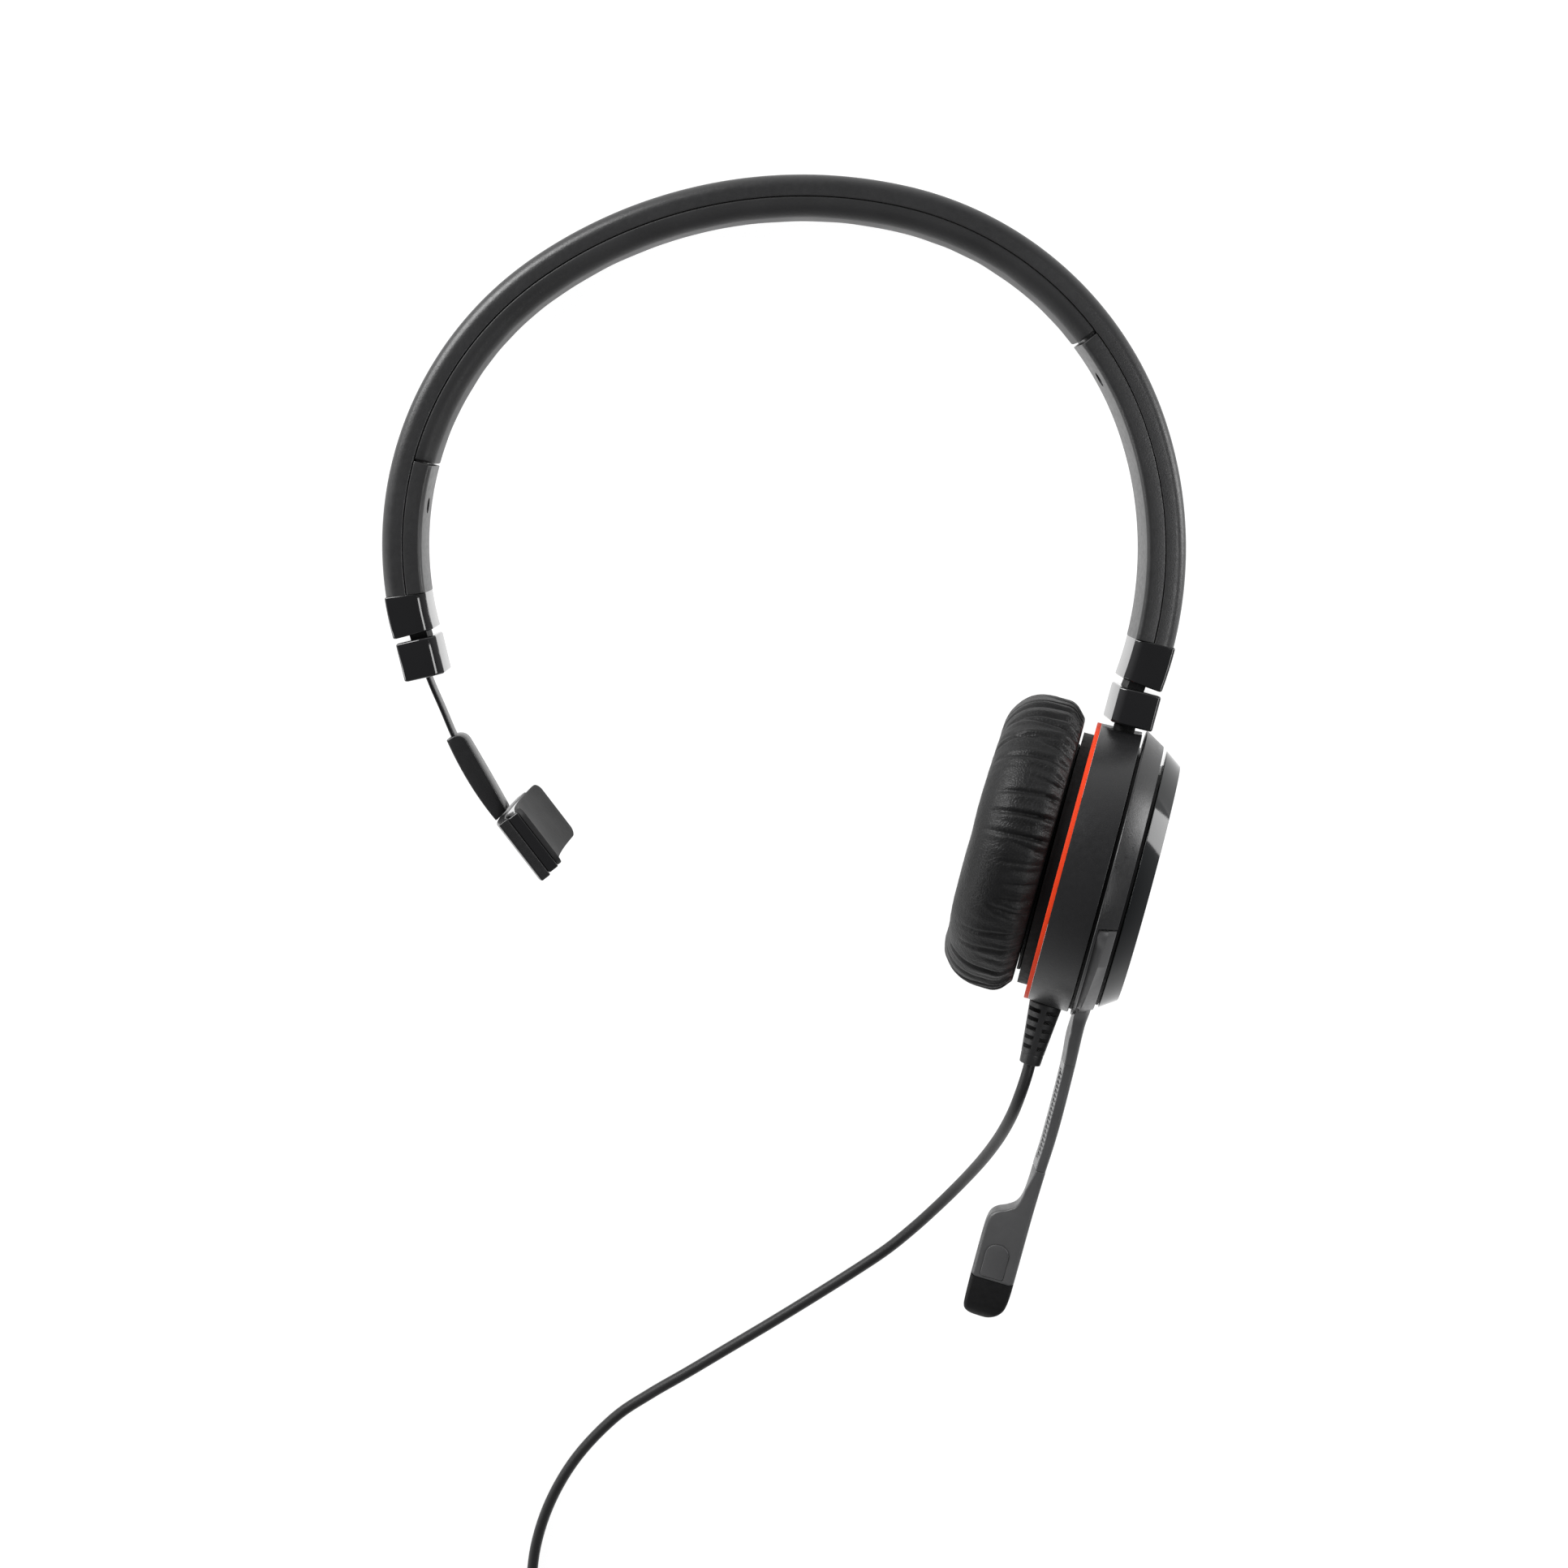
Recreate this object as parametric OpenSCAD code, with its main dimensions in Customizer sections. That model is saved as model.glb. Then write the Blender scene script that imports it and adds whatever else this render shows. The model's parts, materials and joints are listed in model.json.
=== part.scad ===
// Mono office headset with a T-bar temple support, a swivelling ear cup and a rotating boom microphone.
// It lies on its side: +X runs across the head from the T-bar to the ear cup, +Y towards the crown, +Z up.
// Parts are drawn in a head frame (x across, y up the head, z across the band's width) and then laid down.

/* [Headband] */
// Outer radius of the band beside the ear-cup end
side_r = 83.7; // [80:0.1:90]
// Outer radius of the right shoulder
shoulder_r = 73.8; // [70:0.1:78]
// Outer radius over the crown
crown_r = 99.5; // [96:0.1:106]
// Outer radius of the left side
left_r = 72; // [69:0.1:75]
// Width of the band, front to back
band_w = 15; // [14:0.5:18]
// Thickness of shell and pad together
band_t = 8.4; // [8.2:0.1:9]

/* [Temple support] */
// Width of the spring steel strip above the T-bar arm
strip_w = 5; // [4:0.5:6]
// Width of the T-bar foot, front to back
foot_w = 44; // [36:1:50]

/* [Ear cup] */
// Radius of the cup's accent ring
ring_r = 30.4; // [30.2:0.1:30.8]
// Outer radius of the ear cushion
cushion_r = 31.6; // [29:0.2:33]
// Thickness of the ear cushion
cushion_t = 15.6; // [14:0.2:18]
// Turn of the cup about its stem as it rests, in degrees
cup_turn = 8.9; // [-20:0.1:20]

/* [Boom] */
// Distance from the cup's axis to the tip of the microphone
boom_reach = 100; // [96:1:104]

/* [Cord] */
// Diameter of the cord
cord_d = 2.6; // [2.4:0.1:2.8]
// Radius of the coil at the middle of its turns
coil_r = 14.7; // [13:0.1:16]

/* [Hidden] */
$fn = 96;

// Colours
matte = [0.16, 0.16, 0.16];
gloss = [0.08, 0.08, 0.08];
soft = [0.13, 0.13, 0.13];
grey = [0.30, 0.30, 0.30];
steel = [0.62, 0.63, 0.65];
brass = [0.80, 0.66, 0.35];
red = [0.80, 0.12, 0.05];

// How the headset lies: turned about X and Y onto its contact points, then moved over the origin
lie_x = -9.24;
lie_y = -3.6;
lie_shift = [-0.72, 40.1, 20.82];

// The band's centre line is four arcs that share their tangents where they meet
side_c = [0, 2.8];
// Each arc runs on by this many degrees into the next, which is larger or smaller all round by a hair
join = 0.3;
hair = 0.02;
$grow = 0;
side_low = -13.3;
side_to_shoulder = 19.3;
shoulder_to_crown = 77.6;
crown_to_left = 123.8;
left_low = 187.7;
pad_right = 38.5;
pad_left = 163.4;
shoulder_c = side_c + (side_r - shoulder_r) * dir(side_to_shoulder);
crown_c = shoulder_c + (shoulder_r - crown_r) * dir(shoulder_to_crown);
left_c = crown_c + (crown_r - left_r) * dir(crown_to_left);

// Depths below the band's outer surface
shell_wall = 1.6;
spring_top = 1.7;
spring_t = 0.7;
tongue_top = 3;
tongue_bottom = 6.6;
liner_top = 3.5;
seam = 4.5;
layer_gap = 0.05;
cover_floor = 7;
side_wall = 1.5;
tongue_w = 9;
slide_gap = 0.35;

// Cover screws: their angles on the left and shoulder arcs
left_screw = 171.6;
right_screw = 30.4;

// The cup's stem: where its axis passes the disc centre's height, and its lean from the vertical
stem = [64.6, -63.6];
stem_lean = 14.2;
stem_a = 4.8;
cup_top = 31.55;
block_t = 8.8;
tilt_y = 24.4;

// Stations along the cup's axis
housing_back = 8.8;
groove = 0.7;
boom_back = 13.9;
cap_front = 14.7;
cap_back = 18.3;
hub_r = 22.3;
running = 0.06;

// T-bar foot: its own axes run down the foot and in towards the head
foot_top = [-59.1, -50.4];
foot_down = [0.6, -0.8];
foot_in = [0.8, 0.6];
foot_len = 15.6;
foot_r = 94;

// Boom: the bend is in the middle of the flexible stretch
flex_start = -41.9;
flex_end = -65.9;
flex_mid = -53.9;
boom_in = 10.1;
boom_out = 13.5;

// Cord, in the lying frame: from the strain relief down to the desk and on to the coil, then out to the plug
lead_route = [
    [51.3, -64.2, 41], [50.3, -67.9, 41.5], [49.2, -72, 41.2], [48.2, -77, 39], [47.2, -82.5, 35],
    [46.2, -88, 30], [44.7, -94, 24.5], [42.8, -100, 19], [40, -107, 13], [36.3, -114, 8],
    [31.5, -121, 4.2], [25.5, -127.5, 2], [18, -133.2, 1.3], [8, -139.8, 1.3], [-2, -146.2, 1.3],
    [-12, -152.4, 1.3], [-22, -158.6, 1.3], [-31, -164, 1.3], [-39.5, -170, 1.3], [-48.5, -180, 1.3],
    [-55, -191.5, 1.3], [-59, -204, 1.3], [-60.5, -217, 1.3], [-60.5, -227, 1.3], [-60.5, -236, 1.3]];
tail_route = [
    [-42.4, -254.1, 9.3], [-36.4, -254.1, 9.3], [-30, -254.1, 8.4], [-23, -254.1, 6.3],
    [-16.5, -254.1, 4.4], [-10, -254.1, 3.7]];
coil_c = [-42.4, -236];
coil_turns = 10.25;
coil_layers = 4;
cord_pitch = 2.65;

// Plug, lying beside the coil with its axis along X
plug_at = [-10, -254.1, 3.7];
plug_relief_len = 12;
plug_body_len = 18;
jack_r = 1.75;
jack_len = 14;

function dir(a) = [cos(a), sin(a)];
function arc(c, r, a0, a1, n = 6) = [for (i = [0:n]) c + r * dir(a0 + (a1 - a0) * i / n)];
// Quadratic curve from p to s, pulled towards q
function curve(p, q, s, n = 8) =
    [for (i = [0:n]) let (t = i / n) (1 - t) * (1 - t) * p + 2 * t * (1 - t) * q + t * t * s];
function round_rect(lo, hi, r) = concat(
    arc([hi.x - r, lo.y + r], r, -90, 0), arc([hi.x - r, hi.y - r], r, 0, 90),
    arc([lo.x + r, hi.y - r], r, 90, 180), arc([lo.x + r, lo.y + r], r, 180, 270));
function unit(v) = v / norm(v);
function at(p, i) = p[max(0, min(len(p) - 1, i))];
// A smooth line through every point of a route, with one more point in each gap
function between(a, b, c, d, t) =
    0.5 * (2 * b + t * (c - a) + t * t * (2 * a - 5 * b + 4 * c - d) + t * t * t * (3 * b - a - 3 * c + d));
function smooth(p) = concat(
    [for (i = [0:len(p) - 2]) for (t = [0, 0.5]) between(at(p, i - 1), p[i], p[i + 1], at(p, i + 2), t)],
    [p[len(p) - 1]]);
function foot_point(t, n) = foot_top + t * foot_down + n * foot_in;

// ---- frames ----
module lying() {
    translate(lie_shift) rotate([lie_x, lie_y, 0]) children();
}
module in_stem() {
    lying() translate([stem.x, stem.y, 0]) rotate([0, 0, -stem_lean]) children();
}
// Cup frame: x along the cup's axis away from the head, y up, z towards the front
module in_cup() {
    in_stem() rotate([0, -cup_turn, 0]) translate([-stem_a, 0, 0]) children();
}
// Turns a profile drawn as (radius, station) about the cup's axis; angles count from the bottom of the cup
module about_cup(angle = 360, from = 0) {
    rotate([0, 90, 0]) rotate([0, 0, from - 90]) rotate_extrude(angle = angle) children();
}
module sector(c, a0, a1) {
    translate([c.x, c.y, 0]) rotate([0, 0, a0]) rotate_extrude(angle = a1 - a0 + join) children();
}
// Sweeps a profile along the whole band
module whole_band(ease = 0) {
    sector(side_c, side_low + ease, side_to_shoulder) translate([side_r, 0]) children();
    sector(shoulder_c, side_to_shoulder, shoulder_to_crown, $grow = hair) translate([shoulder_r, 0]) children();
    sector(crown_c, shoulder_to_crown, crown_to_left) translate([crown_r, 0]) children();
    sector(left_c, crown_to_left, left_low - ease - join, $grow = hair) translate([left_r, 0]) children();
}
module padded_band() {
    sector(shoulder_c, pad_right, shoulder_to_crown, $grow = hair) translate([shoulder_r, 0]) children();
    sector(crown_c, shoulder_to_crown, crown_to_left) translate([crown_r, 0]) children();
    sector(left_c, crown_to_left, pad_left - join, $grow = hair) translate([left_r, 0]) children();
}
// A radial cylinder on an arc, between two depths below the outer surface
module radial(c, r, a, d0, d1, rad) {
    p = c + (r - d1) * dir(a);
    translate([p.x, p.y, 0]) rotate([0, 0, a]) rotate([0, 90, 0]) cylinder(r = rad, h = d1 - d0);
}

// ---- band profiles: x is minus the depth, y is across the width ----
module shell_profile() {
    g = $grow;
    h = band_w / 2 + g;
    r = 2.5;
    low = -seam - g;
    wall = side_wall + 2 * g;
    floor = -shell_wall - g;
    polygon(concat(
        [[low, -h]], arc([g - r, -h + r], r, -90, 0), arc([g - r, h - r], r, 0, 90), [[low, h]],
        [[low, h - wall], [floor, h - wall], [floor, -h + wall], [low, -h + wall]]));
}
module cover_profile() {
    g = $grow;
    h = band_w / 2 + g;
    r = 2;
    top = -seam - layer_gap + g;
    base = -band_t - g;
    floor = -cover_floor + g;
    gap = tongue_w / 2 + slide_gap - g;
    polygon(concat(
        [[top, h]], arc([base + r, h - r], r, 90, 180), arc([base + r, -h + r], r, 180, 270), [[top, -h]],
        [[top, -gap], [floor, -gap], [floor, gap], [top, gap]]));
}
module pad_profile() {
    h = band_w / 2 - 0.1 + $grow;
    r = 2.6;
    top = -seam - layer_gap + $grow;
    base = -band_t - $grow;
    polygon(concat(
        [[top, h]], arc([base + r, h - r], r, 90, 180), arc([base + r, -h + r], r, 180, 270), [[top, -h]]));
}
module flat_profile(d0, d1, w) {
    translate([-d1 - $grow, -w / 2 - $grow]) square([d1 - d0 + 2 * $grow, w + 2 * $grow]);
}
module collar_profile() {
    h = band_w / 2 + 0.1;
    difference() {
        polygon(round_rect([-band_t, -h], [0.1, h], 2));
        flat_profile(tongue_top - slide_gap, tongue_bottom + slide_gap, tongue_w + 2 * slide_gap);
    }
}

// ---- headband ----
module band_shell() {
    color(matte) lying() difference() {
        union() {
            whole_band() shell_profile();
            radial(left_c, left_r, left_screw, shell_wall - 0.3, seam + 0.4, 2.2);
            radial(shoulder_c, shoulder_r, right_screw, shell_wall - 0.3, seam + 0.4, 2.2);
        }
        radial(left_c, left_r, left_screw, spring_top, seam + 1, 0.85);
        radial(shoulder_c, shoulder_r, right_screw, spring_top, seam + 1, 0.85);
    }
}
module band_spring() {
    color(steel) lying() difference() {
        whole_band(1) flat_profile(spring_top, spring_top + spring_t, tongue_w);
        radial(left_c, left_r, left_screw, 0, seam, 2.4);
        radial(shoulder_c, shoulder_r, right_screw, 0, seam, 2.4);
    }
}
module band_liner() {
    color(soft) lying() padded_band() flat_profile(liner_top, seam, band_w - 2 * side_wall - 0.2);
}
module band_pad() {
    color(soft) lying() padded_band() pad_profile();
}
// A boss for the screw, open from the inside of the band
module cover_boss(c, r, a) {
    radial(c, r, a, seam + 0.5, cover_floor + 0.2, 2.7);
}
module cover_bore(c, r, a) {
    radial(c, r, a, seam, band_t, 1);
    radial(c, r, a, 6.2, band_t + 1, 1.7);
}
module left_end_cover() {
    end_gap = 0.6;
    color(matte) lying() difference() {
        union() {
            sector(left_c, pad_left + end_gap, left_low - join, $grow = hair) translate([left_r, 0]) cover_profile();
            cover_boss(left_c, left_r, left_screw);
        }
        cover_bore(left_c, left_r, left_screw);
    }
}
module right_end_cover() {
    end_gap = 0.9;
    color(matte) lying() difference() {
        union() {
            sector(side_c, side_low, side_to_shoulder) translate([side_r, 0]) cover_profile();
            sector(shoulder_c, side_to_shoulder, pad_right - end_gap - join, $grow = hair)
                translate([shoulder_r, 0]) cover_profile();
            cover_boss(shoulder_c, shoulder_r, right_screw);
        }
        cover_bore(shoulder_c, shoulder_r, right_screw);
    }
}
module cover_screw(c, r, a) {
    difference() {
        union() {
            radial(c, r, a, 2.7, 6.3, 0.8);
            radial(c, r, a, 6.2, 7.3, 1.6);
        }
        p = c + (r - 7.4) * dir(a);
        translate([p.x, p.y, 0]) rotate([0, 0, a]) cube([1.4, 0.4, 2], center = true);
        translate([p.x, p.y, 0]) rotate([0, 0, a]) cube([1.4, 2, 0.4], center = true);
    }
}
module cover_screws() {
    color(steel) lying() {
        cover_screw(left_c, left_r, left_screw);
        cover_screw(shoulder_c, shoulder_r, right_screw);
    }
}
module left_end_collar() {
    color(gloss) lying() sector(left_c, left_low + 0.05, 194.7 - join) translate([left_r, 0]) collar_profile();
}
module right_end_collar() {
    color(gloss) lying() sector(side_c, -19.9, side_low - 0.05 - join) translate([side_r, 0]) collar_profile();
}
// Leaf springs that click against the slider tongues
module detent_springs() {
    color(steel) lying() {
        sector(left_c, 178, 186) translate([left_r, 0]) flat_profile(2.5, 2.8, 4);
        sector(side_c, -11.5, -4.5) translate([side_r, 0]) flat_profile(2.5, 2.8, 4);
    }
}

// ---- temple slider ----
left_block_top = 195.9;
// The block's own frame: origin at its top on the band's mid-thickness, y down the slide
module left_block_frame() {
    p = left_c + (left_r - band_t / 2) * dir(left_block_top);
    translate([p.x, p.y + 0.3, 0]) rotate([0, 0, 12.6]) children();
}
module left_slider_block() {
    color(gloss) lying() difference() {
        left_block_frame() translate([0, -8.2, -band_w / 2]) rotate([0, 90, 90])
            linear_extrude(8.2) polygon(round_rect([-band_w, -band_t / 2], [0, band_t / 2], 2));
        sector(left_c, 190, left_block_top + 3) translate([left_r, 0])
            flat_profile(tongue_top - 0.05, tongue_bottom + 0.05, tongue_w + 0.1);
        strip_slot();
    }
}
module left_slider_tongue() {
    color(matte) lying() difference() {
        sector(left_c, 165.5, left_block_top + 2.9) translate([left_r, 0])
            flat_profile(tongue_top, tongue_bottom, tongue_w);
        // A fork that straddles the screw boss
        sector(left_c, 160, 177) translate([left_r, 0]) flat_profile(tongue_top - 1, tongue_bottom + 1, 6.1);
    }
}
strip_top = [-75.6, -20.6];
strip_bend = [-72.8, -28.5];
strip_foot = [-67.2, -40.4];
strip_t = 0.9;
module strip_shape(grow) {
    mid = curve(strip_top, strip_bend, strip_foot, 10);
    n = [0.93, 0.37];
    h = strip_t / 2 + grow;
    translate([0, 0, -strip_w / 2 - grow]) linear_extrude(strip_w + 2 * grow)
        polygon(concat([for (p = mid) p + h * n], [for (i = [10:-1:0]) mid[i] - h * n]));
}
module strip_slot() {
    strip_shape(0.05);
}
module temple_strip() {
    color(steel) lying() strip_shape(0);
}
module temple_arm() {
    outline = concat(
        curve([-71, -35.8], [-66.6, -45.6], foot_point(1.05, -2.9)),
        [foot_point(1.05, 0.1)],
        curve(foot_point(0, 0.1), [-62.3, -43.8], [-66.1, -36.6]),
        curve([-66.6, -35.6], [-67.6, -34.2], [-69.4, -34.7], 4));
    color(matte) lying() difference() {
        translate([0, 0, -3.75]) linear_extrude(7.5) polygon(outline);
        strip_slot();
    }
}
// Turns a profile drawn as (radius from the ear side, distance down) into a curved plate
module foot_plate(r0, r1, t0, t1, w) {
    half = asin(w / 2 / foot_r);
    rim = foot_r - sqrt(foot_r * foot_r - w * w / 4);
    c = foot_point(0, foot_r - rim);
    multmatrix([[-foot_in.x, 0, foot_down.x, c.x], [-foot_in.y, 0, foot_down.y, c.y], [0, -1, 0, 0], [0, 0, 0, 1]])
        rotate([0, 0, -half]) rotate_extrude(angle = 2 * half)
            translate([r0, t0]) square([r1 - r0, t1 - t0]);
}
module temple_foot() {
    color(matte) lying() foot_plate(foot_r - 1.7, foot_r, 1.1, foot_len, foot_w);
}
module temple_pad_carrier() {
    color(gloss) lying() foot_plate(foot_r - 4.2, foot_r - 1.75, 1.3, foot_len - 0.4, foot_w);
}
module temple_pad() {
    color(grey) lying() foot_plate(foot_r - 6, foot_r - 4.25, 0.9, foot_len - 0.5, foot_w);
}

// ---- cup slider ----
module right_slider_block() {
    color(gloss) difference() {
        union() {
            in_stem() translate([0.3, cup_top, 0]) rotate([-90, 0, 0])
                linear_extrude(7.85) polygon(round_rect([-block_t / 2, -band_w / 2], [block_t / 2, band_w / 2], 2));
        }
        lying() sector(side_c, -25, -19) translate([side_r, 0])
            flat_profile(tongue_top - 0.05, tongue_bottom + 0.05, tongue_w + 0.1);
        in_stem() translate([0, cup_top + 2.5, 0]) rotate([90, 0, 0]) cylinder(r = 1.55, h = 5);
    }
}
module right_slider_tongue() {
    color(matte) lying() sector(side_c, -24.5, 9.5) translate([side_r, 0])
        flat_profile(tongue_top, tongue_bottom, tongue_w);
}
// Stem pin: shoulder, shaft and clipped end
module swivel_pin() {
    color(steel) in_stem() rotate([90, 0, 0]) {
        translate([0, 0, -cup_top - 2.4]) cylinder(r = 1.5, h = 14.3);
        translate([0, 0, -cup_top + 0.05]) cylinder(r = 2, h = 2.8);
        translate([0, 0, -20.2]) cylinder(r = 2.1, h = 0.9);
    }
}
// ---- cup yoke ----
module swivel_block() {
    color(matte) in_cup() difference() {
        translate([stem_a - 2.1, 20.4, -5.8]) cube([4.2, 7.2, 11.6]);
        translate([stem_a, 30, 0]) rotate([90, 0, 0]) cylinder(r = 1.5 + running, h = 12);
        translate([stem_a, tilt_y, 2.8]) cylinder(r = 1.2, h = 4);
        translate([stem_a, tilt_y, -6.8]) cylinder(r = 1.2, h = 4);
    }
}
module tilt_pins() {
    color(steel) in_cup() for (s = [-1, 1])
        translate([stem_a, tilt_y, s * 5.7]) cylinder(r = 1.2, h = 5.6, center = true);
}

// ---- ear cup ----
module cup_housing() {
    color(matte) in_cup() difference() {
        union() {
            difference() {
                about_cup() polygon([[0, 7.6], [0, housing_back], [30.9, housing_back], [30.4, 0.05], [28.7, 0.05], [29.1, 7.6]]);
                // Dish under the stem, and the passage for the stem with room to tilt
                translate([stem_a, 29.9, 0]) rotate([-90, 0, 0]) cylinder(r = 9.3, h = 5);
                translate([stem_a, 34, 0]) rotate([90, 0, 0]) cylinder(r = 2.9, h = 8);
            }
            // Ears that carry the tilt pins
            for (s = [-1, 1]) translate([1.6, 20.8, s * 7.4 - 0.9]) cube([6.1, 7.3, 1.8]);
            // Screw pillars for the hub
            for (a = [30, 150, 270]) hub_screw_at(a) translate([0, 0, 5.2]) cylinder(r = 2.4, h = 2.6);
        }
        translate([stem_a, tilt_y, -9]) cylinder(r = 1.2 + running, h = 18);
        for (a = [30, 150, 270]) hub_screw_at(a) translate([0, 0, 4]) cylinder(r = 1.1, h = 6);
        // Passage for the strain relief
        translate([4, -26, 0]) rotate([90, 0, 0]) cylinder(r = 2.6, h = 6);
        translate([12, -25, 0]) rotate([0, 90, 0]) translate([0, 0, -4.5]) cylinder(r = 1, h = 2);
    }
}
module hub_screw_at(a) {
    translate([0, 17.5 * sin(a), 17.5 * cos(a)]) rotate([0, 90, 0]) children();
}
module accent_ring() {
    color(red) in_cup() about_cup() polygon([[27.65, -0.75], [27.65, 0], [ring_r, 0], [ring_r, -0.75]]);
}
module speaker_baffle() {
    color(matte) in_cup() difference() {
        about_cup() polygon([[0, -2.2], [0, -0.75], [27.6, -0.75], [27.6, -3.1], [24.4, -3.1], [24.4, -2.2]]);
        rotate([0, 90, 0]) translate([0, 0, -4]) cylinder(r = 14.1, h = 5);
    }
}
module speaker_frame() {
    color(steel) in_cup() about_cup()
        polygon([[5.2, 3], [5.2, 3.8], [10, 3.8], [14, 0.6], [14, -2.2], [13.2, -2.2], [13.2, 0.2], [9.6, 3]]);
}
module speaker_magnet() {
    color(grey) in_cup() rotate([0, 90, 0]) translate([0, 0, 3.85]) cylinder(r = 8.5, h = 2.6);
}
module speaker_diaphragm() {
    color(soft) in_cup() about_cup() polygon(concat(
        [[0, -1.9]], curve([0, -1.9], [5, -1.8], [5.6, -0.6], 4), curve([6.2, -0.6], [9.5, -2.6], [13.1, -1.2], 6),
        [[13.1, -1.35]], curve([13.1, -1.35], [9.5, -2.8], [6, -0.8], 6), curve([5.4, -0.8], [5, -2], [0, -2.1], 4)));
}
module voice_coil() {
    color(brass) in_cup() about_cup() translate([4.4, -0.55]) square([0.5, 4.3]);
}
// Perforated plate in front of the speaker
module speaker_grille() {
    color(matte) in_cup() difference() {
        rotate([0, 90, 0]) translate([0, 0, -3.4]) cylinder(r = 15.5, h = 1.1);
        rotate([0, 90, 0]) for (ring = [0:4]) for (i = [0:max(ring * 6 - 1, 0)])
            rotate([0, 0, i * 60 / max(ring, 1)]) translate([ring * 3, 0, -4]) cylinder(r = 0.7, h = 3);
    }
}
module cushion_ring() {
    color(soft) in_cup() about_cup() polygon([[15.8, -4], [15.8, -3.15], [28.4, -3.15], [28.4, -4]]);
}
module ear_cushion() {
    lo = -4.05 - cushion_t;
    color(soft) in_cup() translate([0, 1.5, 0]) about_cup()
        polygon(concat(
            [[16, -4.05], [cushion_r - 3.4, -4.05]], arc([cushion_r - 4.2, -8.2], 4.2, 80, 0, 5),
            arc([cushion_r - 8.5, lo + 8.5], 8.5, 0, -90, 7), arc([18.5, lo + 7.5], 7.5, -90, -180, 6), [[11, -7]]));
}
module boom_hub() {
    color(matte) in_cup() difference() {
        about_cup() polygon([[0, 8.85], [0, 10], [20.4, 10], [20.4, 15.6], [hub_r, 15.6], [hub_r, 8.85]]);
        for (a = [30, 150, 270]) hub_screw_at(a) cylinder(r = 1.1, h = 12);
    }
}
module housing_screws() {
    color(steel) in_cup() for (a = [30, 150, 270]) hub_screw_at(a) {
        translate([0, 0, 3.9]) cylinder(r = 1.9, h = 1.25);
        translate([0, 0, 5]) cylinder(r = 1, h = 6.6);
    }
}
module rear_cap() {
    color(gloss) in_cup() about_cup() polygon([
        [23.5, cap_front], [28.3, cap_front], [26.1, cap_back - 0.4], [25.6, cap_back], [16.2, cap_back],
        [16.2, cap_back - 0.8], [15, cap_back - 0.8], [15, cap_back - 1.6], [18.6, cap_back - 1.6],
        [18.6, 13.4], [20.3, 13.4], [20.3, cap_back - 2.4], [23.5, cap_back - 2.4]]);
}
module rear_cap_disc() {
    color(matte) in_cup() rotate([0, 90, 0]) translate([0, 0, cap_back - 0.75]) cylinder(r = 16.1, h = 0.75);
}
module circuit_board() {
    color([0.05, 0.25, 0.12]) in_cup() {
        difference() {
            rotate([0, 90, 0]) translate([0, 0, 11.8]) cylinder(r = 18.2, h = 1);
            for (a = [30, 150, 270]) hub_screw_at(a) translate([0, 0, 11]) cylinder(r = 1.5, h = 3);
        }
        for (p = [[4, -6], [-7, 3], [6, 7], [-3, -9]])
            translate([12.75, p.x, p.y]) cube([0.9, 2.4, 1.6]);
    }
}
module boom_stop_pin() {
    color(steel) in_cup() translate([8.3, -25, 0]) rotate([0, 90, 0]) cylinder(r = 0.95, h = 1.9);
}
relief_a = 4;
relief_len = 13;
module strain_relief() {
    color(soft) in_cup() translate([relief_a, -30.6, 0]) rotate([90, 0, 0]) difference() {
        union() {
            translate([0, 0, -2.4]) cylinder(r = 2.55, h = 3);
            translate([0, 0, -2.9]) cylinder(r = 3.6, h = 0.8);
            cylinder(r1 = 3.6, r2 = 2.35, h = relief_len);
        }
        for (i = [0:4]) for (s = [-1, 1]) translate([s * 3.2, 0, 1.7 + i * 2.05])
            cube([5, 9, 0.8], center = true);
    }
}

// ---- boom ----
module boom_ring() {
    color(matte) in_cup() difference() {
        about_cup() polygon(concat(
            [[hub_r + running, housing_back + 0.15], [27.4, housing_back + 0.15], [27.4, housing_back + groove],
            [31.1, housing_back + groove], [31.3, housing_back + groove + 0.2], [28.9, boom_back],
            [24.8, boom_back], [24.8, cap_front - 0.15], [hub_r + running, cap_front - 0.15]]));
        // Recess for the boom's root
        about_cup(150, -75) polygon([[28.2, 10.1], [28.2, 15], [33, 15], [33, 10.1]]);
        // Groove for the stop pin
        about_cup(282, -141) polygon([[23.8, 8], [23.8, 10.4], [26.2, 10.4], [26.2, 8]]);
    }
}
module boom_arm() {
    color(grey) in_cup() {
        about_cup(146, -73) polygon([[28.25, 10.2], [28.25, boom_back], [28.95, boom_back], [31, 10.5], [31, 10.2]]);
        intersection() {
            translate([0, 0, -6]) linear_extrude(12) polygon([
                [10.6, -28.9], [13.7, -28.9], [13.3, -31.5], [boom_out, flex_start], [boom_in, flex_start], [9.8, -34], [10.2, -31.4]]);
            translate([9, 0, 0]) rotate([0, 90, 0]) linear_extrude(6) polygon([
                [-5.5, -27], [5.5, -27], [3.6, flex_start], [-3.6, flex_start]]);
        }
    }
}
bead_pitch = 1.9;
bead_count = 6;
hinge_a = 11.8;
module boom_flex_upper() {
    color(grey) in_cup() difference() {
        union() {
            translate([boom_in + 0.5, flex_mid + 0.9, -3.4])
                cube([boom_out - boom_in - 0.5, flex_start - 0.05 - flex_mid - 0.9, 6.8]);
            for (i = [0:bead_count - 1]) translate([boom_in + 0.3, flex_start - 1.05 - i * bead_pitch, -3.1])
                cube([0.8, 1, 6.2]);
        }
        translate([hinge_a, flex_mid, -5]) cylinder(r = 1.55, h = 10);
    }
}
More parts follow.
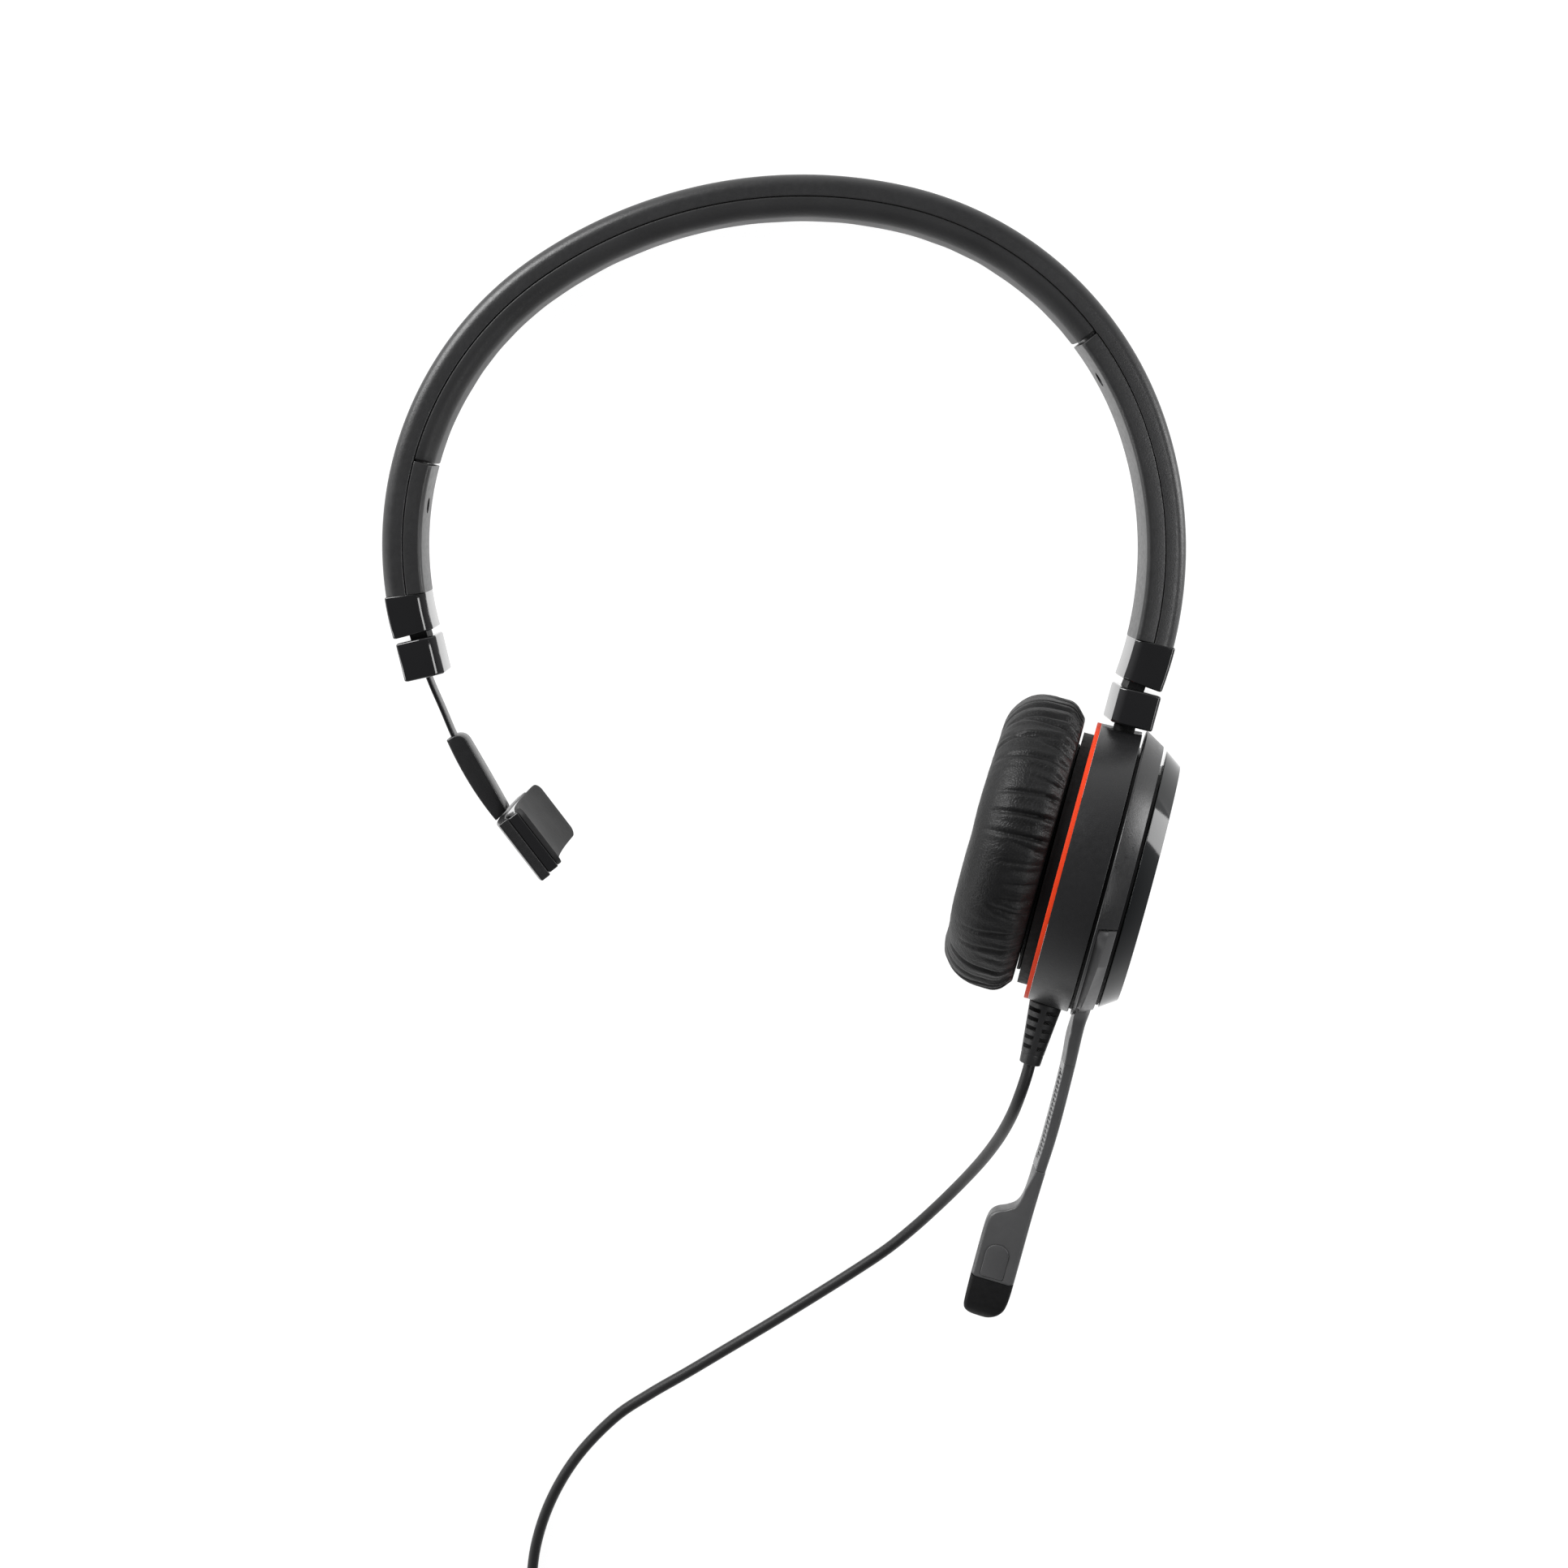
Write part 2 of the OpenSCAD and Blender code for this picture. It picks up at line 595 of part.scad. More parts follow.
module boom_flex_lower() {
    color(grey) in_cup() {
        translate([boom_in + 0.5, flex_end + 0.05, -3.4]) cube([boom_out - boom_in - 0.5, flex_mid - 1 - flex_end, 6.8]);
        translate([hinge_a, flex_mid, -3.4]) cylinder(r = 1.45, h = 6.8);
        for (i = [0:bead_count - 1]) translate([boom_in + 0.3, flex_end + 0.6 + i * bead_pitch, -3.1])
            cube([0.8, 1, 6.2]);
    }
}
mic_in = 3.5;
mic_out = 13;
mic_seam = -91;
module mic_outline(y0) {
    polygon(concat(
        [[boom_in + 0.2, flex_end], [boom_out - 0.1, flex_end], [mic_out + 0.1, -76], [mic_out, y0]],
        curve([mic_out, y0], [(mic_in + mic_out) / 2, y0 - 1.2], [mic_in, y0 + 1.2], 6),
        curve([mic_in + 0.6, -80], [mic_in + 1.2, -77], [mic_in + 3.6, -76], 5),
        curve([mic_in + 5, -75.2], [boom_in, -74], [boom_in + 0.2, -71], 5)));
}
module mic_housing() {
    color(grey) in_cup() difference() {
        translate([0, 0, -5]) linear_extrude(10) mic_outline(mic_seam);
        translate([8.3, -85.5, -2.4]) cylinder(r = 3.1, h = 4.8);
        translate([8.3, -85.5, 4.2]) mic_panel(0.05, 2);
        translate([8.3, -85.5, 0]) cylinder(r = 1, h = 4.5);
    }
}
module mic_capsule() {
    color(steel) in_cup() translate([8.3, -85.5, -1.4]) cylinder(r = 3, h = 2.8);
}
module mic_panel(grow, h) {
    linear_extrude(h) polygon(round_rect([-2.4 - grow, -3.6 - grow], [2.4 + grow, 3.6 + grow], 1.6));
}
module mic_port_panel() {
    color(grey) in_cup() translate([8.3, -85.5, 4.2]) difference() {
        mic_panel(0, 0.7);
        for (i = [-1:1]) translate([0, i * 1.8, -1]) cylinder(r = 0.5, h = 3);
    }
}
module mic_tip() {
    color(soft) in_cup() translate([0, 0, -5]) linear_extrude(10) polygon(concat(
        curve([mic_in, mic_seam + 1.1], [(mic_in + mic_out) / 2, mic_seam - 1.3], [mic_out, mic_seam - 0.1], 6),
        curve([mic_out - 0.1, -boom_reach + 3.5], [mic_out - 0.6, -boom_reach - 0.2], [8.2, -boom_reach], 6),
        curve([8.2, -boom_reach], [4, -boom_reach + 0.2], [mic_in, -boom_reach + 5.5], 6)));
}

// ---- cord ----
module tube(p, r, sides = 8) {
    last = len(p) - 1;
    rings = [for (i = [0:last])
        let (t = unit(at(p, i + 1) - at(p, i - 1)), side = unit(cross(t, [0, 0, 1])), up = cross(side, t))
        [for (k = [0:sides - 1]) p[i] + r * (cos(k * 360 / sides) * side + sin(k * 360 / sides) * up)]];
    walls = [for (i = [0:last - 1]) for (k = [0:sides - 1]) let (m = (k + 1) % sides)
        [i * sides + k, i * sides + m, (i + 1) * sides + m, (i + 1) * sides + k]];
    polyhedron([for (ring = rings) each ring], concat(
        walls, [[for (k = [sides - 1:-1:0]) k], [for (k = [0:sides - 1]) last * sides + k]]));
}
module cord_lead() {
    color(matte) tube(smooth(lead_route), cord_d / 2);
}
module cord_tail() {
    color(matte) tube(smooth(tail_route), cord_d / 2);
}
// Half the width of the band of turns, and their height
coil_half = cord_pitch * coil_turns / coil_layers / 2 + cord_d / 2;
coil_h = cord_pitch * (coil_layers - 1) + cord_d;
module cord_coil() {
    color(matte) translate([coil_c.x, coil_c.y, 0]) rotate_extrude()
        translate([coil_r - coil_half, 0]) square([2 * coil_half, coil_h]);
}
// Strap over the turns
module coil_tie() {
    t = 0.8;
    color(soft) translate([coil_c.x, coil_c.y, 0]) rotate([0, 0, 40]) difference() {
        translate([coil_r - coil_half - t - 0.3, -3, 0]) cube([2 * coil_half + 2 * t + 0.6, 6, coil_h + t]);
        rotate_extrude() translate([coil_r - coil_half, -1]) square([2 * coil_half, coil_h + 1]);
    }
}
// Turns a profile drawn as (radius, distance from the cord's end) about the plug's axis
module about_plug() {
    translate(plug_at) rotate([0, 90, 0]) rotate_extrude() children();
}
module plug_relief() {
    color(matte) about_plug()
        polygon([[0, 0], [1.8, 0], [2, 0.3], [3, plug_relief_len], [0, plug_relief_len]]);
}
module plug_body() {
    a = plug_relief_len;
    b = a + plug_body_len;
    color(matte) about_plug() polygon([
        [0, a], [3.2, a], [3.7, a + 0.8], [3.7, b - 1.5], [3.4, b - 0.6], [2.9, b], [0, b]]);
}
// Sleeve, two rings and a tip
contacts = [[0, 5.2], [5.9, 7.9], [8.6, 10.6]];
module plug_contacts() {
    foot = plug_relief_len + plug_body_len;
    color(brass) about_plug() translate([0, foot]) {
        for (c = contacts) translate([0.8, c[0]]) square([jack_r - 0.8, c[1] - c[0]]);
        polygon([[0, 11.3], [jack_r - 0.1, 11.3], [jack_r, 11.7], [1.15, 12.4], [jack_r, 12.9],
            [1.2, jack_len - 0.4], [0.5, jack_len], [0, jack_len]]);
    }
}
module plug_insulators() {
    foot = plug_relief_len + plug_body_len;
    color(gloss) about_plug() translate([0, foot]) {
        square([0.78, 11.28]);
        for (y = [5.2, 7.9, 10.6]) translate([0.5, y + 0.02]) square([jack_r - 0.53, 0.66]);
    }
}

band_shell();
band_spring();
band_liner();
band_pad();
left_end_cover();
right_end_cover();
cover_screws();
left_end_collar();
right_end_collar();
detent_springs();
left_slider_block();
left_slider_tongue();
temple_strip();
temple_arm();
temple_foot();
temple_pad_carrier();
temple_pad();
right_slider_block();
right_slider_tongue();
swivel_pin();
swivel_block();
tilt_pins();
cup_housing();
accent_ring();
speaker_baffle();
speaker_frame();
speaker_magnet();
speaker_diaphragm();
voice_coil();
speaker_grille();
cushion_ring();
ear_cushion();
boom_hub();
housing_screws();
rear_cap();
rear_cap_disc();
circuit_board();
boom_stop_pin();
strain_relief();
cord_lead();
cord_coil();
cord_tail();
coil_tie();
plug_body();
plug_relief();
plug_contacts();
plug_insulators();
boom_ring();
boom_arm();
boom_flex_upper();
boom_flex_lower();
mic_housing();
mic_capsule();
mic_tip();
mic_port_panel();
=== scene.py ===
"""Mono office headset lying on its side, with its cord, on a pale floor.

Shapes are drawn in millimetres in one of four frames and come out in metres in the row frame:
HEAD (x across, y up the head, z across the band), STEM (y up the ear cup's stem),
CUP (x along the cup's axis away from the head, y up, z forward) and FLAT (the row frame itself).
"""
import json
import math
import random

import bmesh
import bpy
from mathutils import Matrix, Vector, noise


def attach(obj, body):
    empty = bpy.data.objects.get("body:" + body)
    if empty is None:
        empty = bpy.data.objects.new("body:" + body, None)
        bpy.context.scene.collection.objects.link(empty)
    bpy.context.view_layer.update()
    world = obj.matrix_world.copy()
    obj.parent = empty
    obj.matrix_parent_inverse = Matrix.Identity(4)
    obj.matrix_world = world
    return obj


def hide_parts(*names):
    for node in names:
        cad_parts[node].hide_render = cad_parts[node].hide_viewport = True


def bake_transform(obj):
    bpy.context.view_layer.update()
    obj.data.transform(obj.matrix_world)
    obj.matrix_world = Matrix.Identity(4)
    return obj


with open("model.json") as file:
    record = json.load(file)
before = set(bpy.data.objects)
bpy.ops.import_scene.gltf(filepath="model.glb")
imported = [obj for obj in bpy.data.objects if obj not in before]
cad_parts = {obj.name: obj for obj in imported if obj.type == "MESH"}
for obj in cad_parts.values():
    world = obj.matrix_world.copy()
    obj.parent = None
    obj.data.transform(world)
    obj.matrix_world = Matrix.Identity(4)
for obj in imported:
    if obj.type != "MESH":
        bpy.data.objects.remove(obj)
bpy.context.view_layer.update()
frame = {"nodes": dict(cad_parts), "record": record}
NODES = frame["nodes"]


# ---------------------------------------------------------------- frames

STEM_AT = (64.6, -63.6, 0)
STEM_LEAN = 14.2
STEM_A = 4.8
CUP_TURN = 8.9


def turn(degrees, axis):
    return Matrix.Rotation(math.radians(degrees), 4, axis)


def shift(x, y, z):
    return Matrix.Translation((x, y, z))


FLAT = Matrix.Scale(0.001, 4)
HEAD = FLAT @ shift(-0.72, 40.1, 20.82) @ turn(-3.6, "Y") @ turn(-9.24, "X")
STEM = HEAD @ shift(*STEM_AT) @ turn(-STEM_LEAN, "Z")
CUP = STEM @ turn(-CUP_TURN, "Y") @ shift(-STEM_A, 0, 0)


def direction(degrees):
    a = math.radians(degrees)
    return Vector((math.cos(a), math.sin(a)))


# ---------------------------------------------------------------- camera, stage and lights

scene = bpy.context.scene
scene.view_settings.view_transform = "Standard"


def link(name, data):
    obj = bpy.data.objects.new(name, data)
    scene.collection.objects.link(obj)
    return obj


def place_camera():
    data = bpy.data.cameras.new("camera")
    data.lens = 59.87
    data.sensor_width = 36
    data.clip_end = 20
    camera = link("camera", data)
    spot = HEAD @ Vector((-6.95, 23.68, 549.02))
    turned = HEAD.to_quaternion().to_matrix().to_4x4() @ turn(-0.725, "Y") @ turn(-7.2, "X")
    camera.matrix_world = Matrix.Translation(spot) @ turned
    scene.camera = camera


def place_light(name, at, aim, size, power, roll=0.0):
    """A rectangular lamp that faces aim; roll turns it about its own beam, in degrees."""
    data = bpy.data.lights.new(name, "AREA")
    data.shape = "RECTANGLE"
    data.size, data.size_y = size
    data.energy = power
    lamp = link(name, data)
    at, aim = Vector(at), Vector(aim)
    facing = (at - aim).to_track_quat("Z", "Y").to_matrix().to_4x4()
    lamp.matrix_world = Matrix.Translation(at) @ facing @ turn(roll, "Z")


def make_world():
    world = bpy.data.worlds.new("studio")
    scene.world = world
    world.use_nodes = True
    nodes, links = world.node_tree.nodes, world.node_tree.links
    coords = nodes.new("ShaderNodeTexCoord")
    split = nodes.new("ShaderNodeSeparateXYZ")
    ramp = nodes.new("ShaderNodeValToRGB")
    ramp.color_ramp.elements[0].position = 0.0
    ramp.color_ramp.elements[0].color = (1, 1, 1, 1)
    ramp.color_ramp.elements[1].position = 0.75
    ramp.color_ramp.elements[1].color = (0.16, 0.16, 0.165, 1)
    middle = ramp.color_ramp.elements.new(0.3)
    middle.color = (0.62, 0.62, 0.63, 1)
    links.new(coords.outputs["Generated"], split.inputs[0])
    links.new(split.outputs["Z"], ramp.inputs["Fac"])
    links.new(ramp.outputs["Color"], nodes["Background"].inputs["Color"])


def make_floor():
    mesh = bpy.data.meshes.new("floor")
    side = 6.0
    mesh.from_pydata([(-side, -side, 0), (side, -side, 0), (side, side, 0), (-side, side, 0)], [], [(0, 1, 2, 3)])
    floor = link("floor", mesh)
    skin = bpy.data.materials.new("floor")
    skin.use_nodes = True
    shader = skin.node_tree.nodes["Principled BSDF"]
    shader.inputs["Base Color"].default_value = (0.25, 0.25, 0.25, 1)
    shader.inputs["Roughness"].default_value = 0.9
    shader.inputs["Emission Color"].default_value = (1, 1, 1, 1)
    shader.inputs["Emission Strength"].default_value = 0.9
    mesh.materials.append(skin)


place_camera()
make_world()
make_floor()
place_light("key", (-0.36, 0.44, 0.22), (0.0, 0.02, 0.03), (0.30, 0.22), 2.7)
place_light("strip left", (-0.42, -0.08, 0.14), (0.05, -0.02, 0.03), (0.07, 0.30), 0.35)
place_light("strip right", (0.24, 0.03, 0.43), (-0.08, 0.0, 0.03), (0.07, 0.34), 0.55, roll=90)
place_light("rim", (-0.46, 0.36, 0.07), (0.06, -0.03, 0.03), (0.30, 0.10), 0.9)
place_light("cap window", (0.54, 0.128, 0.135), (0.076, -0.01, 0.045), (0.24, 0.22), 1.25, roll=28)

# ---------------------------------------------------------------- materials


def noise_at(tree, coords, scale, detail=4.0, stretch=None, rough=0.5):
    """A noise texture in the object's own coordinates, which are metres; scale is in cycles a metre."""
    tex = tree.nodes.new("ShaderNodeTexNoise")
    tex.inputs["Scale"].default_value = scale
    tex.inputs["Detail"].default_value = detail
    tex.inputs["Roughness"].default_value = rough
    if stretch:
        place = tree.nodes.new("ShaderNodeMapping")
        place.inputs["Scale"].default_value = stretch
        tree.links.new(coords, place.inputs["Vector"])
        coords = place.outputs["Vector"]
    tree.links.new(coords, tex.inputs["Vector"])
    return tex.outputs["Fac"]


def remap(tree, value, low, high, at=(0.3, 0.7)):
    node = tree.nodes.new("ShaderNodeMapRange")
    node.inputs["From Min"].default_value, node.inputs["From Max"].default_value = at
    node.inputs["To Min"].default_value, node.inputs["To Max"].default_value = low, high
    tree.links.new(value, node.inputs["Value"])
    return node.outputs["Result"]


def mix_colors(tree, factor, a, b):
    node = tree.nodes.new("ShaderNodeMix")
    node.data_type = "RGBA"
    node.inputs["A"].default_value = (*a, 1)
    node.inputs["B"].default_value = (*b, 1)
    tree.links.new(factor, node.inputs["Factor"])
    return node.outputs["Result"]


def bump(tree, height, depth, before=None):
    node = tree.nodes.new("ShaderNodeBump")
    node.inputs["Distance"].default_value = depth
    node.inputs["Strength"].default_value = 1.0
    tree.links.new(height, node.inputs["Height"])
    if before:
        tree.links.new(before, node.inputs["Normal"])
    return node.outputs["Normal"]


def new_material(name, metallic=0.0, specular=0.5, coat=0.0, coat_rough=0.1, sheen=0.0):
    skin = bpy.data.materials.new(name)
    skin.use_nodes = True
    tree = skin.node_tree
    shader = tree.nodes["Principled BSDF"]
    shader.inputs["Metallic"].default_value = metallic
    shader.inputs["Specular IOR Level"].default_value = specular
    shader.inputs["Coat Weight"].default_value = coat
    shader.inputs["Coat Roughness"].default_value = coat_rough
    shader.inputs["Sheen Weight"].default_value = sheen
    coords = tree.nodes.new("ShaderNodeTexCoord").outputs["Object"]
    return skin, tree, shader, coords


def plastic(name, color, rough, grain=3500, grain_depth=0.00002, mottle=0.12, **extra):
    """Moulded plastic: a fine spark-eroded grain, faint mottling and a roughness that varies a little."""
    skin, tree, shader, coords = new_material(name, **extra)
    cloud = noise_at(tree, coords, 60, 3)
    dark = [c * (1 - mottle) for c in color]
    light = [c * (1 + mottle) for c in color]
    tree.links.new(mix_colors(tree, remap(tree, cloud, 0, 1), dark, light), shader.inputs["Base Color"])
    fine = noise_at(tree, coords, 900, 3)
    tree.links.new(remap(tree, fine, rough * 0.88, min(rough * 1.12, 1)), shader.inputs["Roughness"])
    tree.links.new(bump(tree, noise_at(tree, coords, grain, 2), grain_depth), shader.inputs["Normal"])
    return skin


def leatherette(name, color, rough):
    """Thin PU skin: small pebbles with creases between them, over a softer wrinkle."""
    skin, tree, shader, coords = new_material(name, specular=0.28)
    cells = tree.nodes.new("ShaderNodeTexVoronoi")
    cells.feature = "DISTANCE_TO_EDGE"
    cells.inputs["Scale"].default_value = 1500
    tree.links.new(coords, cells.inputs["Vector"])
    pebbles = remap(tree, cells.outputs["Distance"], 0, 1, (0.0, 0.22))
    shade = noise_at(tree, coords, 110, 4)
    tone = mix_colors(tree, remap(tree, shade, 0, 1), [c * 0.82 for c in color], [c * 1.2 for c in color])
    tree.links.new(tone, shader.inputs["Base Color"])
    tree.links.new(remap(tree, shade, rough * 0.85, rough * 1.15), shader.inputs["Roughness"])
    soft = bump(tree, noise_at(tree, coords, 420, 4), 0.00012)
    tree.links.new(bump(tree, pebbles, 0.00003, soft), shader.inputs["Normal"])
    return skin


def rubber(name, color, rough, speckle=2600, depth=0.00003, specular=0.4, sheen=0.06):
    skin, tree, shader, coords = new_material(name, specular=specular, sheen=sheen)
    cloud = noise_at(tree, coords, 90, 5)
    tone = mix_colors(tree, remap(tree, cloud, 0, 1), [c * 0.85 for c in color], [c * 1.15 for c in color])
    tree.links.new(tone, shader.inputs["Base Color"])
    tree.links.new(remap(tree, cloud, rough * 0.92, min(1, rough * 1.08)), shader.inputs["Roughness"])
    tree.links.new(bump(tree, noise_at(tree, coords, speckle, 3), depth), shader.inputs["Normal"])
    return skin


def metal(name, color, rough, stretch=(1, 1, 14)):
    skin, tree, shader, coords = new_material(name, metallic=1.0)
    brushed = noise_at(tree, coords, 900, 3, stretch)
    tone = mix_colors(tree, remap(tree, brushed, 0, 1), [c * 0.9 for c in color], color)
    tree.links.new(tone, shader.inputs["Base Color"])
    tree.links.new(remap(tree, brushed, rough * 0.8, rough * 1.25), shader.inputs["Roughness"])
    tree.links.new(bump(tree, brushed, 0.00001), shader.inputs["Normal"])
    return skin


def woven(name, color):
    skin, tree, shader, coords = new_material(name, sheen=0.3)
    wave = tree.nodes.new("ShaderNodeTexWave")
    wave.inputs["Scale"].default_value = 700
    wave.inputs["Distortion"].default_value = 1.5
    tree.links.new(coords, wave.inputs["Vector"])
    tone = mix_colors(tree, wave.outputs["Fac"], [c * 0.6 for c in color], [c * 1.5 for c in color])
    tree.links.new(tone, shader.inputs["Base Color"])
    shader.inputs["Roughness"].default_value = 0.9
    tree.links.new(bump(tree, wave.outputs["Fac"], 0.0001), shader.inputs["Normal"])
    return skin


SKINS = {
    "band_plastic": plastic("band_plastic", (0.020, 0.020, 0.0205), 0.36, grain=2600, grain_depth=0.00003),
    "gloss_plastic": plastic("gloss_plastic", (0.006, 0.006, 0.0065), 0.09, grain_depth=0.000001,
                             coat=0.5, coat_rough=0.04),
    "cup_plastic": plastic("cup_plastic", (0.011, 0.011, 0.0115), 0.31, grain=3200, grain_depth=0.00002),
    "cap_plastic": plastic("cap_plastic", (0.007, 0.008, 0.0085), 0.08, grain_depth=0.000001, specular=0.45),
    "cap_disc": plastic("cap_disc", (0.014, 0.014, 0.0145), 0.4, grain_depth=0.00001),
    "accent": plastic("accent", (0.70, 0.045, 0.008), 0.55, mottle=0.05, specular=0.2),
    "boom_plastic": plastic("boom_plastic", (0.062, 0.062, 0.063), 0.36, grain=3200, grain_depth=0.000005),
    "boom_rubber": rubber("boom_rubber", (0.062, 0.062, 0.063), 0.24, depth=0.00001),
    "mic_tip": plastic("mic_tip", (0.003, 0.003, 0.0032), 0.55, specular=0.25, grain_depth=0.00002),
    "arm_plastic": plastic("arm_plastic", (0.012, 0.012, 0.0125), 0.28, grain_depth=0.000003),
    "band_pad": rubber("band_pad", (0.013, 0.013, 0.0135), 0.5, speckle=1800, depth=0.00005),
    "cushion": leatherette("cushion", (0.0050, 0.0050, 0.0052), 0.46),
    "temple_pad": rubber("temple_pad", (0.015, 0.015, 0.0153), 0.6, speckle=1500, depth=0.00006,
                         specular=0.25, sheen=0),
    "spring_steel": metal("spring_steel", (0.60, 0.61, 0.63), 0.28),
    "dark_strip": plastic("dark_strip", (0.02, 0.02, 0.021), 0.3, metallic=0.6),
    # inner_plastic: dark plastic made darker still, as painted shade for the neck behind the cushion and the
    # grooves round the cup
    "inner_plastic": plastic("inner_plastic", (0.003, 0.003, 0.0032), 0.6, specular=0.25),
    "magnet": metal("magnet", (0.45, 0.45, 0.47), 0.35),
    "copper": metal("copper", (0.78, 0.42, 0.25), 0.3, (1, 1, 40)),
    "board": plastic("board", (0.01, 0.09, 0.035), 0.4),
    "cord": rubber("cord", (0.012, 0.012, 0.0123), 0.46),
    "relief": rubber("relief", (0.018, 0.018, 0.0185), 0.42),
    "tie": woven("tie", (0.012, 0.012, 0.013)),
    "contact": metal("contact", (0.83, 0.66, 0.33), 0.16),
    "insulator": plastic("insulator", (0.006, 0.006, 0.006), 0.2),
}


def dress(obj, slot):
    obj.data.materials.clear()
    obj.data.materials.append(SKINS[slot])
    return obj


# ---------------------------------------------------------------- making meshes


def build(name, points, faces, place, smooth=True):
    mesh = bpy.data.meshes.new(name)
    mesh.from_pydata([place @ Vector(p) for p in points], [], faces)
    mesh.validate()
    mesh.polygons.foreach_set("use_smooth", [smooth] * len(mesh.polygons))
    mesh.update()
    return link(name, mesh)


def loft(name, rings, place, closed=False):
    """Joins rings of points, each with as many points, into a closed skin."""
    sides = len(rings[0])
    points = [p for ring in rings for p in ring]
    steps = len(rings) if closed else len(rings) - 1
    faces = []
    for i in range(steps):
        a, b = i * sides, (i + 1) % len(rings) * sides
        for k in range(sides):
            m = (k + 1) % sides
            faces.append((a + k, a + m, b + m, b + k))
    if not closed:
        faces.append(tuple(range(sides - 1, -1, -1)))
        faces.append(tuple(range((len(rings) - 1) * sides, len(rings) * sides)))
    obj = build(name, points, faces, place)
    make_outward(obj)
    return obj


def lathe(name, profile, place=CUP, start=0.0, end=360.0, steps=192):
    """Turns a closed profile of (radius, station) about the frame's x axis. Angles count from the bottom."""
    whole = end - start >= 360
    count = steps if whole else max(8, round(steps * (end - start) / 360))
    rings = []
    for i in range(count if whole else count + 1):
        a = math.radians(start + (end - start) * i / count)
        rings.append([(x, -max(r, 0.004) * math.cos(a), max(r, 0.004) * math.sin(a)) for r, x in profile])
    return loft(name, rings, place, closed=whole)


def make_outward(obj):
    """Points every face away from the inside."""
    work = bmesh.new()
    work.from_mesh(obj.data)
    bmesh.ops.recalc_face_normals(work, faces=work.faces)
    work.to_mesh(obj.data)
    work.free()


def applied(obj):
    seen = obj.evaluated_get(bpy.context.evaluated_depsgraph_get())
    mesh = bpy.data.meshes.new_from_object(seen)
    obj.modifiers.clear()
    obj.data = mesh
    return obj


def bevelled(obj, width, segments=3, angle=30):
    """Rounds the sharp edges; the width is in millimetres."""
    edge = obj.modifiers.new("round", "BEVEL")
    edge.width = width / 1000
    edge.segments = segments
    edge.limit_method = "ANGLE"
    edge.angle_limit = math.radians(angle)
    edge.harden_normals = True
    return applied(obj)


def cut(obj, *cutters):
    for cutter in cutters:
        hole = obj.modifiers.new("cut", "BOOLEAN")
        hole.operation = "DIFFERENCE"
        hole.solver = "EXACT"
        hole.object = cutter
        applied(obj)
        bpy.data.objects.remove(cutter)
    return obj


def sharp(obj, degrees=35):
    """Smooth shading, except over edges sharper than this."""
    obj.data.polygons.foreach_set("use_smooth", [True] * len(obj.data.polygons))
    obj.data.set_sharp_from_angle(angle=math.radians(degrees))
    return obj


def fillet(corners, steps=5):
    """An outline of (x, y, radius) corners, each rounded by its radius."""
    out = []
    for i, (x, y, r) in enumerate(corners):
        here = Vector((x, y))
        to_last = (Vector(corners[i - 1][:2]) - here).normalized()
        to_next = (Vector(corners[(i + 1) % len(corners)][:2]) - here).normalized()
        half = to_last.angle(to_next) / 2
        if r <= 0 or half > math.radians(89):
            out.append(here)
            continue
        middle = here + (to_last + to_next).normalized() * r / math.sin(half)
        first = here + to_last * r / math.tan(half) - middle
        last = here + to_next * r / math.tan(half) - middle
        sweep = first.angle_signed(last)
        for k in range(steps + 1):
            out.append(middle + Matrix.Rotation(-sweep * k / steps, 2) @ first)
    return out


def rounded_rect(x0, x1, y0, y1, r, steps=5):
    r = max(min(r, (x1 - x0) / 2 - 0.01, (y1 - y0) / 2 - 0.01), 0.01)
    return fillet([(x0, y0, r), (x1, y0, r), (x1, y1, r), (x0, y1, r)], steps)


def block(name, x0, x1, y0, y1, z0, z1, place, soft=0.0):
    """A box, rounded all over by soft."""
    corners = [(x, y, z) for x in (x0, x1) for y in (y0, y1) for z in (z0, z1)]
    faces = [(0, 1, 3, 2), (4, 6, 7, 5), (0, 4, 5, 1), (2, 3, 7, 6), (0, 2, 6, 4), (1, 5, 7, 3)]
    obj = build(name, corners, faces, place, smooth=False)
    make_outward(obj)
    return sharp(bevelled(obj, soft, 4)) if soft else obj


def rod(name, radius, a, b, place, sides=48):
    """A cylinder from a to b."""
    a, b = Vector(a), Vector(b)
    spin = (b - a).to_track_quat("Z", "Y").to_matrix()
    ring = [spin @ Vector((radius * math.cos(t), radius * math.sin(t), 0))
            for t in (2 * math.pi * k / sides for k in range(sides))]
    return sharp(loft(name, [[a + p for p in ring], [b + p for p in ring]], place))


def prism(name, outline, z0, z1, place, soft=0.0, segments=4):
    """An outline in x and y, extruded from z0 to z1 and rounded by soft."""
    obj = loft(name, [[(p.x, p.y, z) for p in outline] for z in (z0, z1)], place)
    return sharp(bevelled(obj, soft, segments) if soft else obj)


def smooth_line(points, steps):
    """A Catmull-Rom line through every point."""
    out = []
    for i in range(len(points) - 1):
        a, b, c, d = (Vector(points[min(max(i + k, 0), len(points) - 1)]) for k in (-1, 0, 1, 2))
        for k in range(steps):
            t = k / steps
            out.append(0.5 * (2 * b + t * (c - a) + t * t * (2 * a - 5 * b + 4 * c - d)
                              + t * t * t * (3 * b - a - 3 * c + d)))
    return out + [Vector(points[-1])]


def bend(a, b, c, steps=10):
    """A quadratic curve from a to c, pulled towards b."""
    a, b, c = Vector(a), Vector(b), Vector(c)
    return [a.lerp(b, k / steps).lerp(b.lerp(c, k / steps), k / steps) for k in range(steps + 1)]


